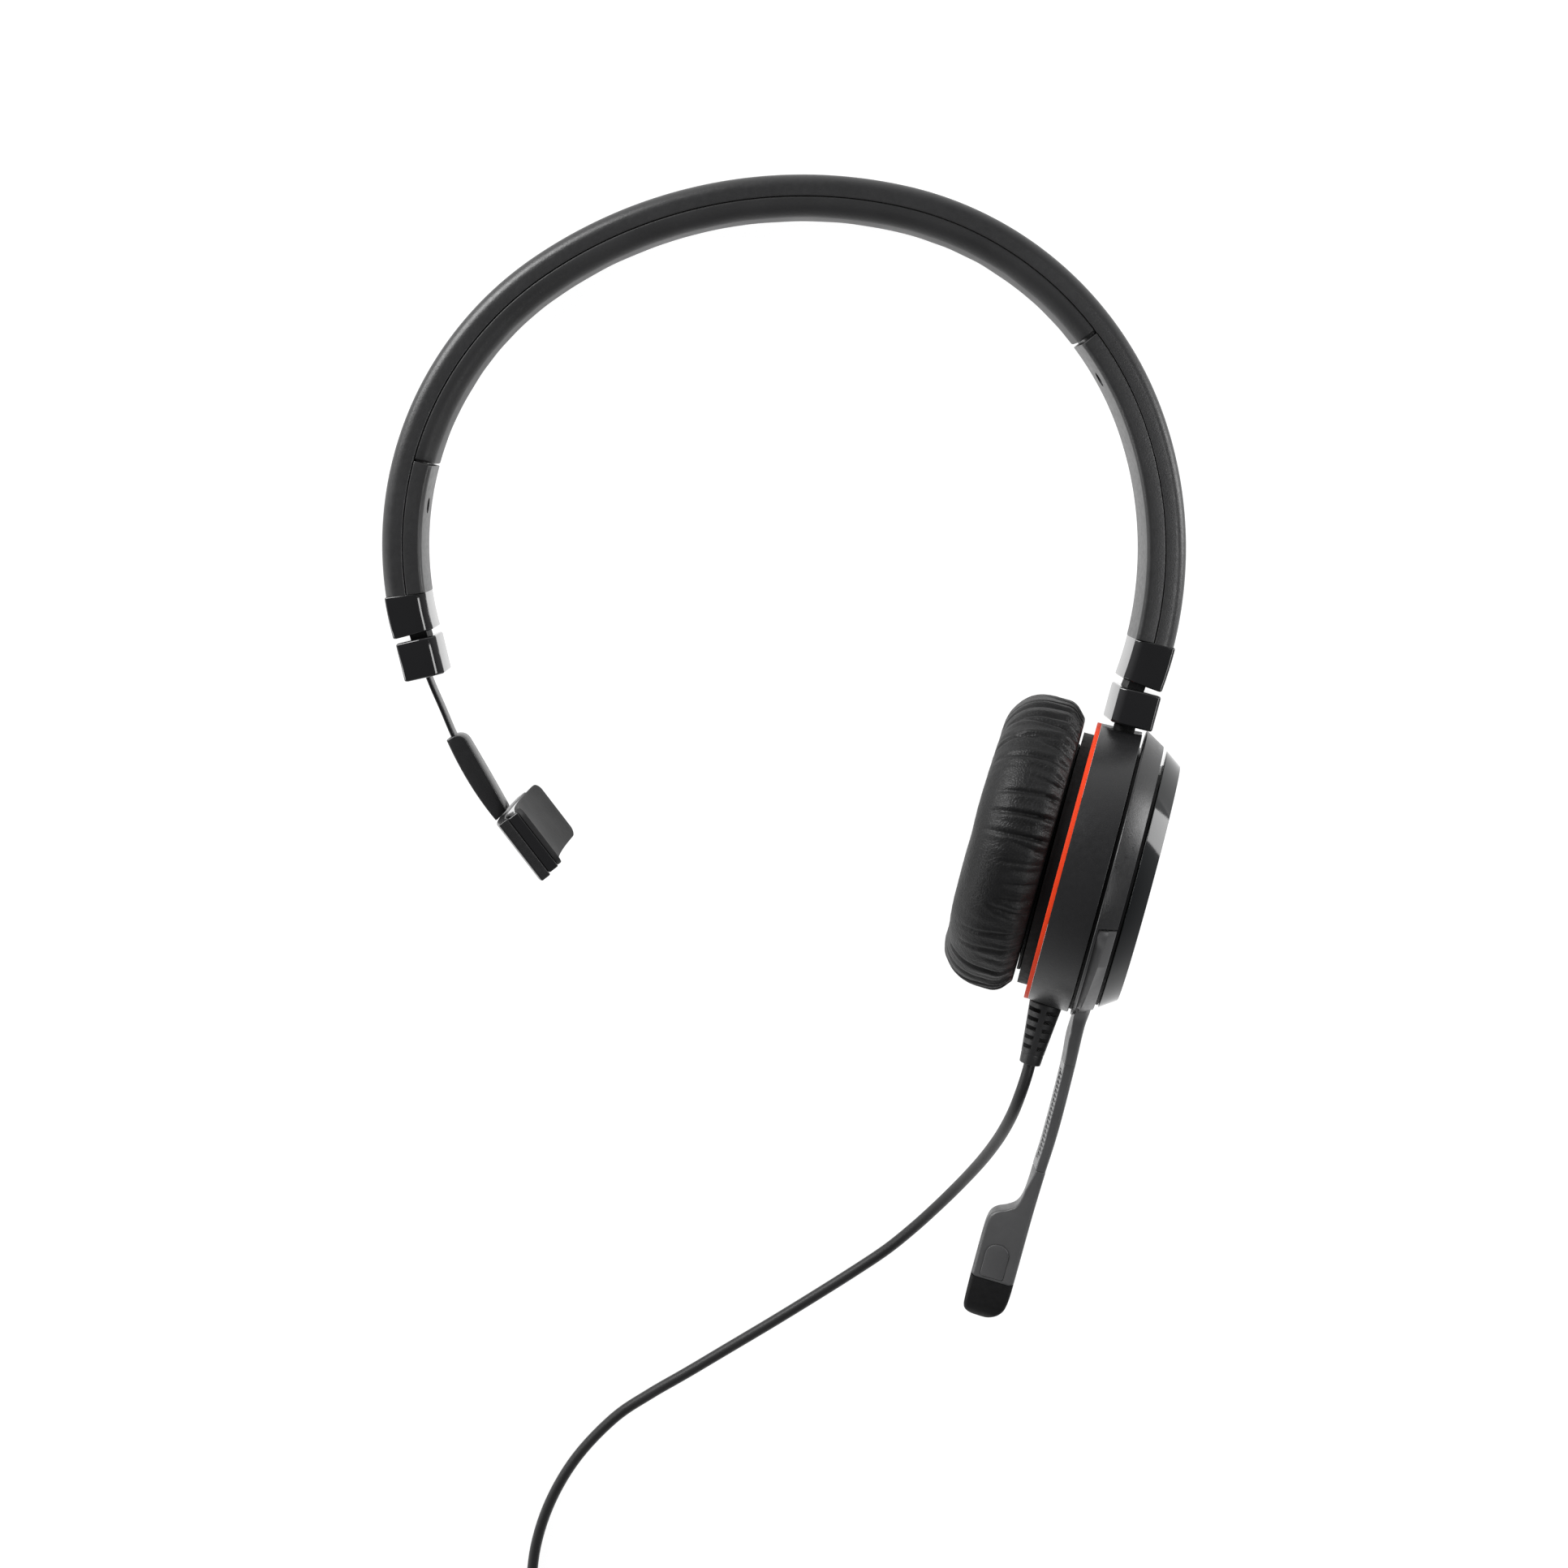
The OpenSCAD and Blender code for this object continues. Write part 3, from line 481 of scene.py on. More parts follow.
def follow(table, x):
    """A smooth value at x through (x, value) pairs in rising order."""
    if x <= table[0][0]:
        return table[0][1]
    for i in range(len(table) - 1):
        (xb, b), (xc, c) = table[i], table[i + 1]
        if x <= xc:
            xa, a = table[max(i - 1, 0)]
            xd, d = table[min(i + 2, len(table) - 1)]
            t = (x - xb) / (xc - xb)
            mb = (c - a) / (xc - xa) * (xc - xb)
            mc = (d - b) / (xd - xb) * (xc - xb)
            if (c - b) * mb <= 0:
                mb = 0
            if (c - b) * mc <= 0:
                mc = 0
            return ((2 * t ** 3 - 3 * t * t + 1) * b + (t ** 3 - 2 * t * t + t) * mb
                    + (-2 * t ** 3 + 3 * t * t) * c + (t ** 3 - t * t) * mc)
    return table[-1][1]


def finished(obj, body, slot, *nodes):
    """Gives a piece its body, its finish and the CAD nodes that it stands for."""
    dress(obj, slot)
    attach(obj, body)
    if nodes:
        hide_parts(*nodes)
    return obj


# ---------------------------------------------------------------- cord

CORD_D = 2.6
COIL_C = (-42.4, -236)
COIL_R = 14.7
COIL_TURNS = 10.25
COIL_LAYERS = 4
CORD_PITCH = 2.65
LEAD = [
    (51.3, -64.2, 41), (50.3, -67.9, 41.5), (49.2, -72, 41.2), (48.2, -77, 39), (47.2, -82.5, 35),
    (46.2, -88, 30), (44.7, -94, 24.5), (42.8, -100, 19), (40, -107, 13), (36.3, -114, 8),
    (31.5, -121, 4.2), (25.5, -127.5, 2), (18, -133.2, 1.3), (8, -139.8, 1.3), (-2, -146.2, 1.3),
    (-12, -152.4, 1.3), (-22, -158.6, 1.3), (-31, -164, 1.3), (-39.5, -170, 1.3), (-48.5, -180, 1.3),
    (-55, -191.5, 1.3), (-59, -204, 1.3), (-60.5, -217, 1.3), (-60.5, -227, 1.3), (-60.5, -236, 1.3)]
TAIL = [
    (-42.4, -254.1, 9.3), (-36.4, -254.1, 9.3), (-30, -254.1, 8.4), (-23, -254.1, 6.3),
    (-16.5, -254.1, 4.4), (-10, -254.1, 3.7)]
PLUG = FLAT @ shift(-10, -254.1, 3.7)


def coil_points(steps=48):
    """Turns that wind in and out by turns, one layer on the next."""
    per_layer = COIL_TURNS / COIL_LAYERS
    half = CORD_PITCH * per_layer / 2
    out = []
    for i in range(round(COIL_TURNS * steps) + 1):
        at = i / steps
        layer = min(int(at / per_layer), COIL_LAYERS - 1)
        share = at / per_layer - layer
        out_share = 1 - share if layer % 2 == 0 else share
        radius = COIL_R + half * (2 * out_share - 1)
        height = CORD_D / 2
        for k in range(1, COIL_LAYERS):
            rise = min(max((at - k * per_layer + 0.1) / 0.18, 0), 1)
            height += CORD_PITCH * rise * rise * (3 - 2 * rise)
        spot = Vector(COIL_C) + radius * direction(180 + 360 * at)
        out.append(Vector((spot.x, spot.y, height)))
    return out


def make_cord():
    line = smooth_line(LEAD, 6)[:-1] + coil_points() + smooth_line(TAIL, 6)[1:]
    data = bpy.data.curves.new("cord", "CURVE")
    data.dimensions = "3D"
    data.bevel_depth = CORD_D / 2000
    data.bevel_resolution = 5
    data.use_fill_caps = True
    spline = data.splines.new("POLY")
    spline.points.add(len(line) - 1)
    for point, p in zip(spline.points, line):
        point.co = (*(FLAT @ p), 1)
    cord = finished(link("cord", data), "ear_cup", "cord", "cord_lead", "cord_coil", "cord_tail")


def make_plug():
    """Tapered, ribbed relief, gripped barrel and four contacts."""
    ribs = [(0.0, 0.0, 0), (1.75, 0.0, 0.2)]
    for i in range(5):
        x = 1.4 + 1.9 * i
        r = 1.95 + 0.2 * i
        ribs += [(r, x, 0.1), (r - 0.45, x + 0.15, 0.1), (r - 0.45, x + 0.65, 0.1), (r + 0.1, x + 0.8, 0.1)]
    ribs += [(3.0, 11.4, 0.2), (3.0, 12.0, 0), (0.0, 12.0, 0)]
    relief = lathe("plug_boot", fillet(ribs, 3), PLUG, steps=64)
    finished(sharp(relief), "ear_cup", "relief", "plug_relief")
    grip = [(0.0, 12.02, 0), (3.2, 12.02, 0.3), (3.7, 13.0, 0.5)]
    for i in range(6):
        x = 17.0 + 1.4 * i
        grip += [(3.7, x, 0.12), (3.45, x + 0.2, 0.1), (3.45, x + 0.6, 0.1), (3.7, x + 0.8, 0.12)]
    grip += [(3.7, 28.4, 0.5), (3.4, 29.5, 0.3), (2.9, 29.98, 0.1), (0.0, 29.98, 0)]
    barrel = finished(sharp(lathe("plug_barrel", fillet(grip, 3), PLUG, steps=96)), "ear_cup", "cord", "plug_body")
    metal_ends = []
    for i, (a, b) in enumerate([(0.05, 5.2), (5.9, 7.9), (8.6, 10.6)]):
        ring = fillet([(0.9, 30 + a, 0), (1.75, 30 + a, 0.08), (1.75, 30 + b, 0.08), (0.9, 30 + b, 0)], 3)
        metal_ends.append(finished(sharp(lathe(f"plug_ring_{i}", ring, PLUG, steps=64)), "ear_cup", "contact"))
    tip = fillet([(0.0, 41.3, 0), (1.7, 41.3, 0.1), (1.74, 41.8, 0.2), (1.15, 42.4, 0.3), (1.72, 42.95, 0.35),
                  (1.1, 43.7, 0.3), (0.5, 43.98, 0.2), (0.0, 43.98, 0)], 4)
    metal_ends.append(finished(sharp(lathe("plug_tip", tip, PLUG, steps=64)), "ear_cup", "contact"))
    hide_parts("plug_contacts")
    return [relief, barrel, *metal_ends]


def make_tie():
    """A strap round the coil's turns."""
    wide, high = CORD_PITCH * COIL_TURNS / COIL_LAYERS + CORD_D, CORD_PITCH * (COIL_LAYERS - 1) + CORD_D
    place = FLAT @ shift(*COIL_C, 0) @ turn(40, "Z") @ shift(COIL_R, 0, 0)
    low, thick = 0.06, 0.65
    inner = rounded_rect(-wide / 2, wide / 2, low, high + 0.1, 1.2)
    outer = rounded_rect(-wide / 2 - thick, wide / 2 + thick, low - 0.05, high + 0.1 + thick, 1.8)
    loops = []
    for y, thinned in ((-3, 0.12), (-2.7, 0), (2.7, 0), (3, 0.12)):
        share = 1 - thinned / thick
        loops.append([(p.x, y, p.y) for p in (q + (o - q) * share for q, o in zip(inner, outer))])
    loops += [[(p.x, y, p.y) for p in inner] for y in (3, -3)]
    return finished(sharp(loft("coil_strap", loops, place, closed=True)), "ear_cup", "tie", "coil_tie")


# ---------------------------------------------------------------- headband

BAND_T = 8.4
HALF_W = 7.5
SEAM = 4.5
SIDE_C = Vector((0, 2.8))
SIDE_R, SHOULDER_R, CROWN_R, LEFT_R = 83.7, 73.8, 99.5, 72.0
SIDE_END, SHOULDER_END, CROWN_END = 19.3, 77.6, 123.8
LOW_RIGHT, LOW_LEFT = -13.3, 187.7
SHOULDER_C = SIDE_C + (SIDE_R - SHOULDER_R) * direction(SIDE_END)
CROWN_C = SHOULDER_C + (SHOULDER_R - CROWN_R) * direction(SHOULDER_END)
LEFT_C = CROWN_C + (CROWN_R - LEFT_R) * direction(CROWN_END)
ARCS = [
    (SIDE_C, SIDE_R, -90, SIDE_END), (SHOULDER_C, SHOULDER_R, SIDE_END, SHOULDER_END),
    (CROWN_C, CROWN_R, SHOULDER_END, CROWN_END), (LEFT_C, LEFT_R, CROWN_END, 270)]


def band_point(angle, depth, z):
    """A point at an angle along the band, so far below its outer surface."""
    for c, r, _, end in ARCS:
        if angle <= end:
            break
    spot = c + (r - depth) * direction(angle)
    return (spot.x, spot.y, z)


def stations(a0, a1, soft=0.0, step=1.0):
    """Angles from a0 to a1, with how far the section draws in at the rounded ends."""
    count = max(2, round((a1 - a0) / step))
    reach = math.degrees(soft / 78)
    ends = [(1 - math.cos(t), 1 - math.sin(t)) for t in (math.radians(k * 90 / 5) for k in range(6))]
    out = [(a0 + reach * s, soft * inset) for s, inset in ends]
    inner0, inner1 = a0 + reach, a1 - reach
    out += [(inner0 + (inner1 - inner0) * i / count, 0) for i in range(1, count)]
    out += [(a1 - reach * s, soft * inset) for s, inset in reversed(ends)]
    return out if soft else [(a0 + (a1 - a0) * i / count, 0) for i in range(count + 1)]


def band_sweep(name, section, a0, a1, soft=0.0, step=1.0, lip=0.0):
    """Sweeps section(inset, angle), a list of (depth, z), along the band.

    The inset is how far the section draws in there; lip is a thinner step past one end, in degrees.
    """
    spots = stations(a0, a1, soft, step)
    if lip < 0:
        spots = [(a0 + lip, 1.1), (a0, 1.1), *spots]
    elif lip > 0:
        spots = [*spots, (a1, 1.1), (a1 + lip, 1.1)]
    rings = [[band_point(a, d, z) for d, z in section(inset, a)] for a, inset in spots]
    return loft(name, rings, HEAD)


def shell_section(inset, angle):
    h = HALF_W
    return fillet([
        (SEAM - 0.03, -h, 0.3), (0, -h, 2.5), (0, h, 2.5), (SEAM - 0.03, h, 0.3),
        (SEAM - 0.03, h - 1.5, 0), (1.6, h - 1.5, 0), (1.6, -h + 1.5, 0), (SEAM - 0.03, -h + 1.5, 0)], 8)


def cover_section(inset, angle):
    h = HALF_W - inset
    low = BAND_T - inset
    gap = 4.9
    return fillet([
        (SEAM + 0.08, -h, 0.3), (SEAM + 0.08, -gap, 0), (7.0, -gap, 0), (7.0, gap, 0), (SEAM + 0.08, gap, 0),
        (SEAM + 0.08, h, 0.3), (low, h, 1.1), (low, -h, 1.1)], 6)


def pad_section(inset, angle):
    """Soft: crowned over the head's side, with a slight unevenness along it."""
    h = HALF_W - 0.12 - inset
    low = BAND_T - inset
    outline = fillet([(SEAM + 0.08, -h, 0.35), (SEAM + 0.08, h, 0.35), (low, h, 2.9), (low, -h, 2.9)], 9)
    out = []
    for p in outline:
        inner = max(p.x - SEAM, 0) / (BAND_T - SEAM)
        crown = 0.28 * inner * (1 - (p.y / HALF_W) ** 2)
        wave = 0.10 * inner * noise.noise(Vector((angle * 0.22, p.y * 0.2, 3.0)))
        out.append(Vector((p.x + crown + wave, p.y)))
    return out


def end_outline(x0, x1, inset):
    """The section of the glossy ends: square outside, and towards the head a broad curve that ends in an edge."""
    h = HALF_W + 0.05 - inset
    x0, x1 = x0 + inset, x1 - inset
    return fillet([(x0, -h, 0.6), (x1 - 1.9, -h, 5.0), (x1, -h + 1.4, 0.2), (x1, h - 1.4, 0.2),
                   (x1 - 1.9, h, 5.0), (x0, h, 0.6)], 8)


def collar_section(inset, angle):
    return end_outline(-0.1, BAND_T, inset)


def slot_cutter(a0, a1):
    return band_sweep("cutter", lambda inset, angle: [Vector(p) for p in
                      ((2.65, -4.85), (2.65, 4.85), (6.95, 4.85), (6.95, -4.85))], a0, a1)


def screw_hole(angle):
    return rod("cutter", 1.65, band_point(angle, BAND_T + 1, 0), band_point(angle, 6.3, 0), HEAD)


def make_headband():
    shell = band_sweep("band_outer", shell_section, LOW_RIGHT, LOW_LEFT)
    finished(sharp(shell, 40), "headband", "band_plastic", "band_shell")
    pad = band_sweep("band_padding", pad_section, 38.2, 163.7, soft=0.6, step=0.8)
    finished(sharp(pad, 60), "headband", "band_pad", "band_pad")
    for name, a0, a1, lip, screw, node in [
            ("end_cover_left", 164.0, LOW_LEFT, -0.28, 171.6, "left_end_cover"),
            ("end_cover_right", LOW_RIGHT, 37.7, 0.48, 30.4, "right_end_cover")]:
        cover = cut(band_sweep(name, cover_section, a0, a1, soft=0.2, lip=lip), screw_hole(screw))
        finished(sharp(cover), "headband", "band_plastic", node)
    for name, a0, a1, node in [
            ("collar_left", LOW_LEFT - 0.12, 194.7, "left_end_collar"),
            ("collar_right", -19.9, LOW_RIGHT + 0.12, "right_end_collar")]:
        collar = cut(band_sweep(name, collar_section, a0, a1, soft=0.45, step=1.5), slot_cutter(a0 - 1, a1 + 1))
        finished(sharp(collar), "headband", "gloss_plastic", node)


# ---------------------------------------------------------------- sliders and temple support

LEFT_BLOCK_AT = LEFT_C + (LEFT_R - BAND_T / 2) * direction(195.9)
LEFT_BLOCK = HEAD @ shift(*LEFT_BLOCK_AT, 0) @ shift(0, 0.3, 0) @ turn(12.6, "Z")


def rounded_block(name, x0, x1, y0, y1, place, soft, flip=1):
    """A short post, rounded where it ends in y; flip -1 puts its curved side at x0."""
    ends = [(soft * (1 - math.cos(t)), soft * (1 - math.sin(t))) for t in (math.radians(k * 15) for k in range(7))]
    spots = [(y0 + s, inset) for s, inset in ends] + [(y1 - s, inset) for s, inset in reversed(ends)]
    middle, half = (x0 + x1) / 2, (x1 - x0) / 2
    loops = [[(middle + flip * p.x, y, p.y) for p in end_outline(-half, half, inset)] for y, inset in spots]
    return loft(name, loops, place)


def make_sliders():
    left = rounded_block("slider_end_left", -BAND_T / 2, BAND_T / 2, -8.2, 0, LEFT_BLOCK, 0.5)
    finished(sharp(left), "temple_slider", "gloss_plastic", "left_slider_block")
    right = rounded_block("slider_end_right", -4.1, 4.7, 31.7, 39.4, STEM, 0.5, flip=-1)
    finished(sharp(right), "cup_slider", "gloss_plastic", "right_slider_block")
    boot = rod("stem_boot", 2.3, (0, 28.5, 0), (0, 31.8, 0), STEM)
    finished(sharp(boot), "cup_yoke", "inner_plastic")


STRIP = [(-76.2, -19.2), (-75.6, -20.6), (-73.9, -25), (-72.0, -29.5), (-69.8, -34.9), (-67.2, -40.4)]


def make_strip():
    line = smooth_line([(x, y, 0) for x, y in STRIP], 6)
    loops = []
    for i, p in enumerate(line):
        along = (line[min(i + 1, len(line) - 1)] - line[max(i - 1, 0)]).normalized()
        side = Vector((along.y, -along.x, 0))
        loops.append([p + side * q.x + Vector((0, 0, q.y)) for q in rounded_rect(-0.45, 0.45, -2.5, 2.5, 0.3, 3)])
    finished(sharp(loft("spring_strip", loops, HEAD)), "temple_slider", "dark_strip", "temple_strip")


FOOT_TOP = Vector((-59.1, -50.4))
FOOT_DOWN = Vector((0.6, -0.8))
FOOT_IN = Vector((0.8, 0.6))
FOOT_R = 94.0
FOOT_W = 44.0
FOOT_RIM = FOOT_R - math.sqrt(FOOT_R ** 2 - FOOT_W ** 2 / 4)


def foot_point(t, n, z=0.0):
    spot = FOOT_TOP + t * FOOT_DOWN + n * FOOT_IN
    return Vector((spot.x, spot.y, z))


def foot_plate(name, r0, r1, t0, t1, corner, soft):
    """A curved plate: radii r0 to r1 about the head's side, t0 to t1 down the foot, with round corners."""
    half = math.degrees(math.asin(FOOT_W / 2 / FOOT_R))
    rings = []
    ends = [(corner * (1 - math.cos(t)), corner * (1 - math.sin(t)))
            for t in (math.radians(k * 90 / 8) for k in range(9))]
    spots = [(-FOOT_W / 2 + s, d) for s, d in ends]
    spots += [(-FOOT_W / 2 + corner + (FOOT_W - 2 * corner) * i / 40, 0) for i in range(1, 40)]
    spots += [(FOOT_W / 2 - s, d) for s, d in reversed(ends)]
    for z, drawn in spots:
        phi = z / (FOOT_W / 2) * half
        edge = min(soft * 0.8, (FOOT_W / 2 - abs(z)))
        thin = soft - math.sqrt(max(soft * soft - (soft - edge) ** 2, 0)) if edge < soft else 0
        outline = rounded_rect(t0 + drawn, t1 - drawn, r0 + thin * 0.5, r1 - thin * 0.5, soft, 4)
        ring = []
        for p in outline:
            n = FOOT_R - FOOT_RIM - p.y * math.cos(math.radians(phi))
            ring.append(foot_point(p.x, n, p.y * math.sin(math.radians(phi))))
        rings.append(ring)
    return sharp(loft(name, rings, HEAD), 50)


def foot_slab(name, r0, r1, t0, t1, soft):
    """A curved plate with square corners and small round edges."""
    half = math.degrees(math.asin(FOOT_W / 2 / FOOT_R))
    rings = []
    for i in range(41):
        phi = half * (i / 20 - 1)
        ring = []
        for t, r in ((t0, r0), (t1, r0), (t1, r1), (t0, r1)):
            n = FOOT_R - FOOT_RIM - r * math.cos(math.radians(phi))
            ring.append(foot_point(t, n, r * math.sin(math.radians(phi))))
        rings.append(ring)
    return bevelled(loft(name, rings, HEAD), soft, 3, 50)


def make_temple_support():
    make_strip()
    outer = bend((-71, -35.8), (-66.8, -45.6), foot_point(1.05, -2.9).xy, 12)
    inner = bend(foot_point(0.6, 0.3).xy, (-62.6, -43.0), (-66.3, -36.6), 12)
    top = bend((-66.3, -36.6), (-67.3, -34.5), (-69.4, -35.0), 6)
    arm = prism("temple_grip", outer + inner + top[1:], -3.75, 3.75, HEAD, 0.3, 3)
    finished(arm, "temple_slider", "arm_plastic", "temple_arm")
    back = foot_slab("foot_back", FOOT_R - 2.25, FOOT_R, 1.1, 15.6, 0.3)
    finished(back, "temple_slider", "arm_plastic", "temple_foot")
    carrier = foot_slab("foot_carrier", FOOT_R - 4.6, FOOT_R - 2.3, 1.3, 15.2, 0.3)
    finished(carrier, "temple_slider", "gloss_plastic", "temple_pad_carrier")
    pad = foot_plate("foot_padding", FOOT_R - 5.8, FOOT_R - 4.65, 0.9, 15.1, 2.4, 0.35)
    finished(pad, "temple_slider", "temple_pad", "temple_pad")


# ---------------------------------------------------------------- ear cup


def make_housing():
    profile = fillet([
        (0, 7.6, 0), (29.1, 7.6, 0), (28.7, 0.05, 0), (30.4, 0.04, 0.04), (30.9, 8.8, 0.2), (0, 8.8, 0)], 5)
    shell = lathe("cup_shell", profile)
    depth, rim = 1.1, 7.4
    radius = (rim * rim + depth * depth) / (2 * depth)
    curve = [Vector((radius * math.sin(t), radius * (1 - math.cos(t)) - depth))
             for t in (math.asin(rim / radius) * k / 10 for k in range(11))]
    upward = CUP @ shift(STEM_A, 30.9, 0) @ turn(90, "Z")
    dish = lathe("cutter", curve + [Vector((rim + 0.6, 5)), Vector((0, 5))], upward, steps=96)
    well = rod("cutter", 2.9, (STEM_A, 26, 0), (STEM_A, 34, 0), CUP)
    cut(shell, dish, well)
    finished(sharp(shell), "ear_cup", "cup_plastic", "cup_housing")
    edge = fillet([(29.4, -0.92, 0), (30.4, -0.92, 0.15), (30.4, 0.02, 0.04), (29.4, 0.02, 0)], 4)
    ring = lathe("red_ring", edge)
    finished(sharp(ring), "ear_cup", "accent", "accent_ring")
    # A near-black ring just inside the red ring, where the neck lies in shade: painted shade.
    behind = [Vector(p) for p in ((27.65, -0.8), (29.38, -0.8), (29.38, 0.02), (27.65, 0.02))]
    shade_ring = lathe("red_ring_painted_shade", behind)
    finished(sharp(shade_ring), "ear_cup", "inner_plastic")


def make_cap():
    profile = fillet([
        (23.5, 14.7, 0), (28.3, 14.7, 0.12), (25.75, 18.3, 0.15), (16.2, 18.3, 0.15),
        (16.2, 17.5, 0), (15, 17.5, 0), (15, 16.7, 0), (18.6, 16.7, 0), (18.6, 13.4, 0), (20.3, 13.4, 0),
        (20.3, 15.9, 0), (23.5, 15.9, 0)], 5)
    finished(sharp(lathe("cap", profile)), "ear_cup", "cap_plastic", "rear_cap")
    disc = fillet([
        (0, 17.55, 0), (16.1, 17.55, 0), (16.1, 18.3, 0.15), (14.2, 18.3, 0.1), (14.0, 18.15, 0.08),
        (13.6, 18.15, 0.08), (13.4, 18.3, 0.1), (0, 18.3, 0)], 3)
    finished(sharp(lathe("cap_centre", disc)), "ear_cup", "cap_disc", "rear_cap_disc")


CUSHION_BACK = -3.9
CUSHION_FRONT = -19.8
CUSHION_R = 31.6
CUSHION_UP = 1.5


def cushion_outline():
    """The cushion's section as (radius, station), from the back of the hole round the front to the rear edge."""
    front = CUSHION_FRONT
    return fillet([
        (16.5, CUSHION_BACK, 1.0), (12.2, CUSHION_BACK - 4.5, 4.0), (11.0, front + 4.0, 4.0),
        (17.0, front - 0.2, 5.5), (24.0, front - 0.1, 6.0), (CUSHION_R + 0.4, front + 1.0, 8.4),
        (CUSHION_R + 0.2, CUSHION_BACK - 3.0, 3.4), (CUSHION_R - 2.6, CUSHION_BACK, 1.2)], 10)


def resample(outline, count):
    """Points at even distances along an open line."""
    lengths = [0.0]
    for a, b in zip(outline, outline[1:]):
        lengths.append(lengths[-1] + (b - a).length)
    out, k = [], 0
    for i in range(count):
        want = lengths[-1] * i / (count - 1)
        while k < len(outline) - 2 and lengths[k + 1] < want:
            k += 1
        span = max(lengths[k + 1] - lengths[k], 1e-9)
        out.append(outline[k].lerp(outline[k + 1], (want - lengths[k]) / span))
    return out


def make_creases(rng):
    """Gathers that run forward from the rear edge: angle, length in mm, depth, width in degrees and sway."""
    creases = []
    angle = 0.0
    while angle < 360:
        reach = 1 + 0.6 * math.cos(math.radians(angle)) ** 2
        creases.append((angle, rng.choice((8, 11, 13, 15, 17)) * rng.uniform(0.85, 1.1) * reach,
                        rng.uniform(0.45, 0.85), rng.uniform(0.9, 1.5), rng.uniform(-4.5, 4.5)))
        angle += rng.uniform(5.0, 9.5)
    for _ in range(90):
        creases.append((rng.uniform(0, 360), rng.uniform(4, 11), rng.uniform(0.15, 0.32), rng.uniform(0.5, 0.8),
                        rng.uniform(-3, 3)))
    return creases


def fold_at(creases, angle, back):
    """How far the skin is pushed out at an angle round the cup, so far forward of the rear edge."""
    push = 0.0
    for at, length, depth, width, sway in creases:
        gap = (angle - at + 180) % 360 - 180
        if abs(gap) > 9 or back > length:
            continue
        fade = (1 - back / length) ** 0.6 * min(1.0, back / 3)
        spot = (gap - sway * (back / 15) ** 1.4) / width
        push += depth * fade * (0.30 * math.exp(-((abs(spot) - 1.9) ** 2)) - math.exp(-spot * spot * 1.6))
    return push


def make_cushion():
    """The gathered cushion: its section turned round the cup, pushed in and out by creases and noise."""
    rng = random.Random(11)
    section = resample(cushion_outline(), 130)
    creases = make_creases(rng)
    around = 720
    rings = []
    lean = 0.5 * math.tan(math.radians(1.2))
    runs = [0.0]
    for last, after in zip(section, section[1:]):
        runs.append(runs[-1] + (after - last).length)
    for i in range(around):
        angle = 360 * i / around
        a = math.radians(angle)
        near = [c for c in creases if abs((angle - c[0] + 180) % 360 - 180) < 12]
        ring = []
        for k, p in enumerate(section):
            last, after = section[max(k - 1, 0)], section[min(k + 1, len(section) - 1)]
            along = (after - last).normalized()
            out = Vector((along.y, -along.x))
            run, back = runs[k], runs[-1] - runs[k]
            wide = 0.35 * noise.noise(Vector((math.sin(a) * 3.0, math.cos(a) * 3.0, run * 0.05)))
            rear = max(0.0, 1 - back / 26)
            small = 0.16 * rear * noise.noise(Vector((angle * 0.30, run * 0.16, 1.0)))
            crowd = math.cos(a) ** 4 * max(0.0, 1 - back / 34)
            tight = 0.16 * crowd * noise.noise(Vector((angle * 0.55, run * 0.09, 9.0)))
            tiny = 0.03 * noise.noise(Vector((angle * 1.5, run * 0.9, 5.0)))
            push = (fold_at(near, angle, back) + wide + small + tight + tiny) * min(1.0, run, back)
            spot = p + out * push
            x = spot.y - lean * spot.x * math.cos(a)
            ring.append((x, -spot.x * math.cos(a) + CUSHION_UP, spot.x * math.sin(a)))
        rings.append(ring)
    cushion = loft("ear_pad", rings, CUP, closed=True)
    finished(sharp(cushion, 70), "ear_cup", "cushion", "ear_cushion")
    # The backing takes inner_plastic, whose near-black is partly painted shade for the neck behind the cushion.
    backing = lathe("pad_backing", fillet([
        (15.8, -3.95, 0), (15.8, -3.2, 0), (24.9, -3.2, 0.25), (24.9, -3.95, 0.1)], 3))
    finished(sharp(backing), "ear_cup", "inner_plastic", "cushion_ring")


def make_relief():
    """Tapered boot with two columns of slots each side and a plain collar at its end."""
    profile = fillet([
        (0, 0, 0), (3.6, 0, 0.3), (3.3, 2.9, 0), (2.5, 11.3, 0.15), (2.42, 11.5, 0.1), (2.45, 11.7, 0.1),
        (2.3, 13.8, 0.25), (0, 13.8, 0)], 4)
    place = CUP @ shift(4, -30.6, 0) @ turn(-90, "Z")
    boot = lathe("cord_boot", profile, place, steps=96)
    cutters = []
    for i in range(5):
        x = 1.7 + i * 2.05
        for side in (-1, 1):
            for face in (-1, 1):
                y0, y1 = sorted((side * 0.65, side * 5))
                z0, z1 = sorted((face * 1.15, face * 5))
                cutters.append(block("cutter", x - 0.46, x + 0.46, y0, y1, z0, z1, place))
    cut(boot, *cutters)
    return finished(sharp(boot), "ear_cup", "relief", "strain_relief")


# ---------------------------------------------------------------- boom

RECESS = 75


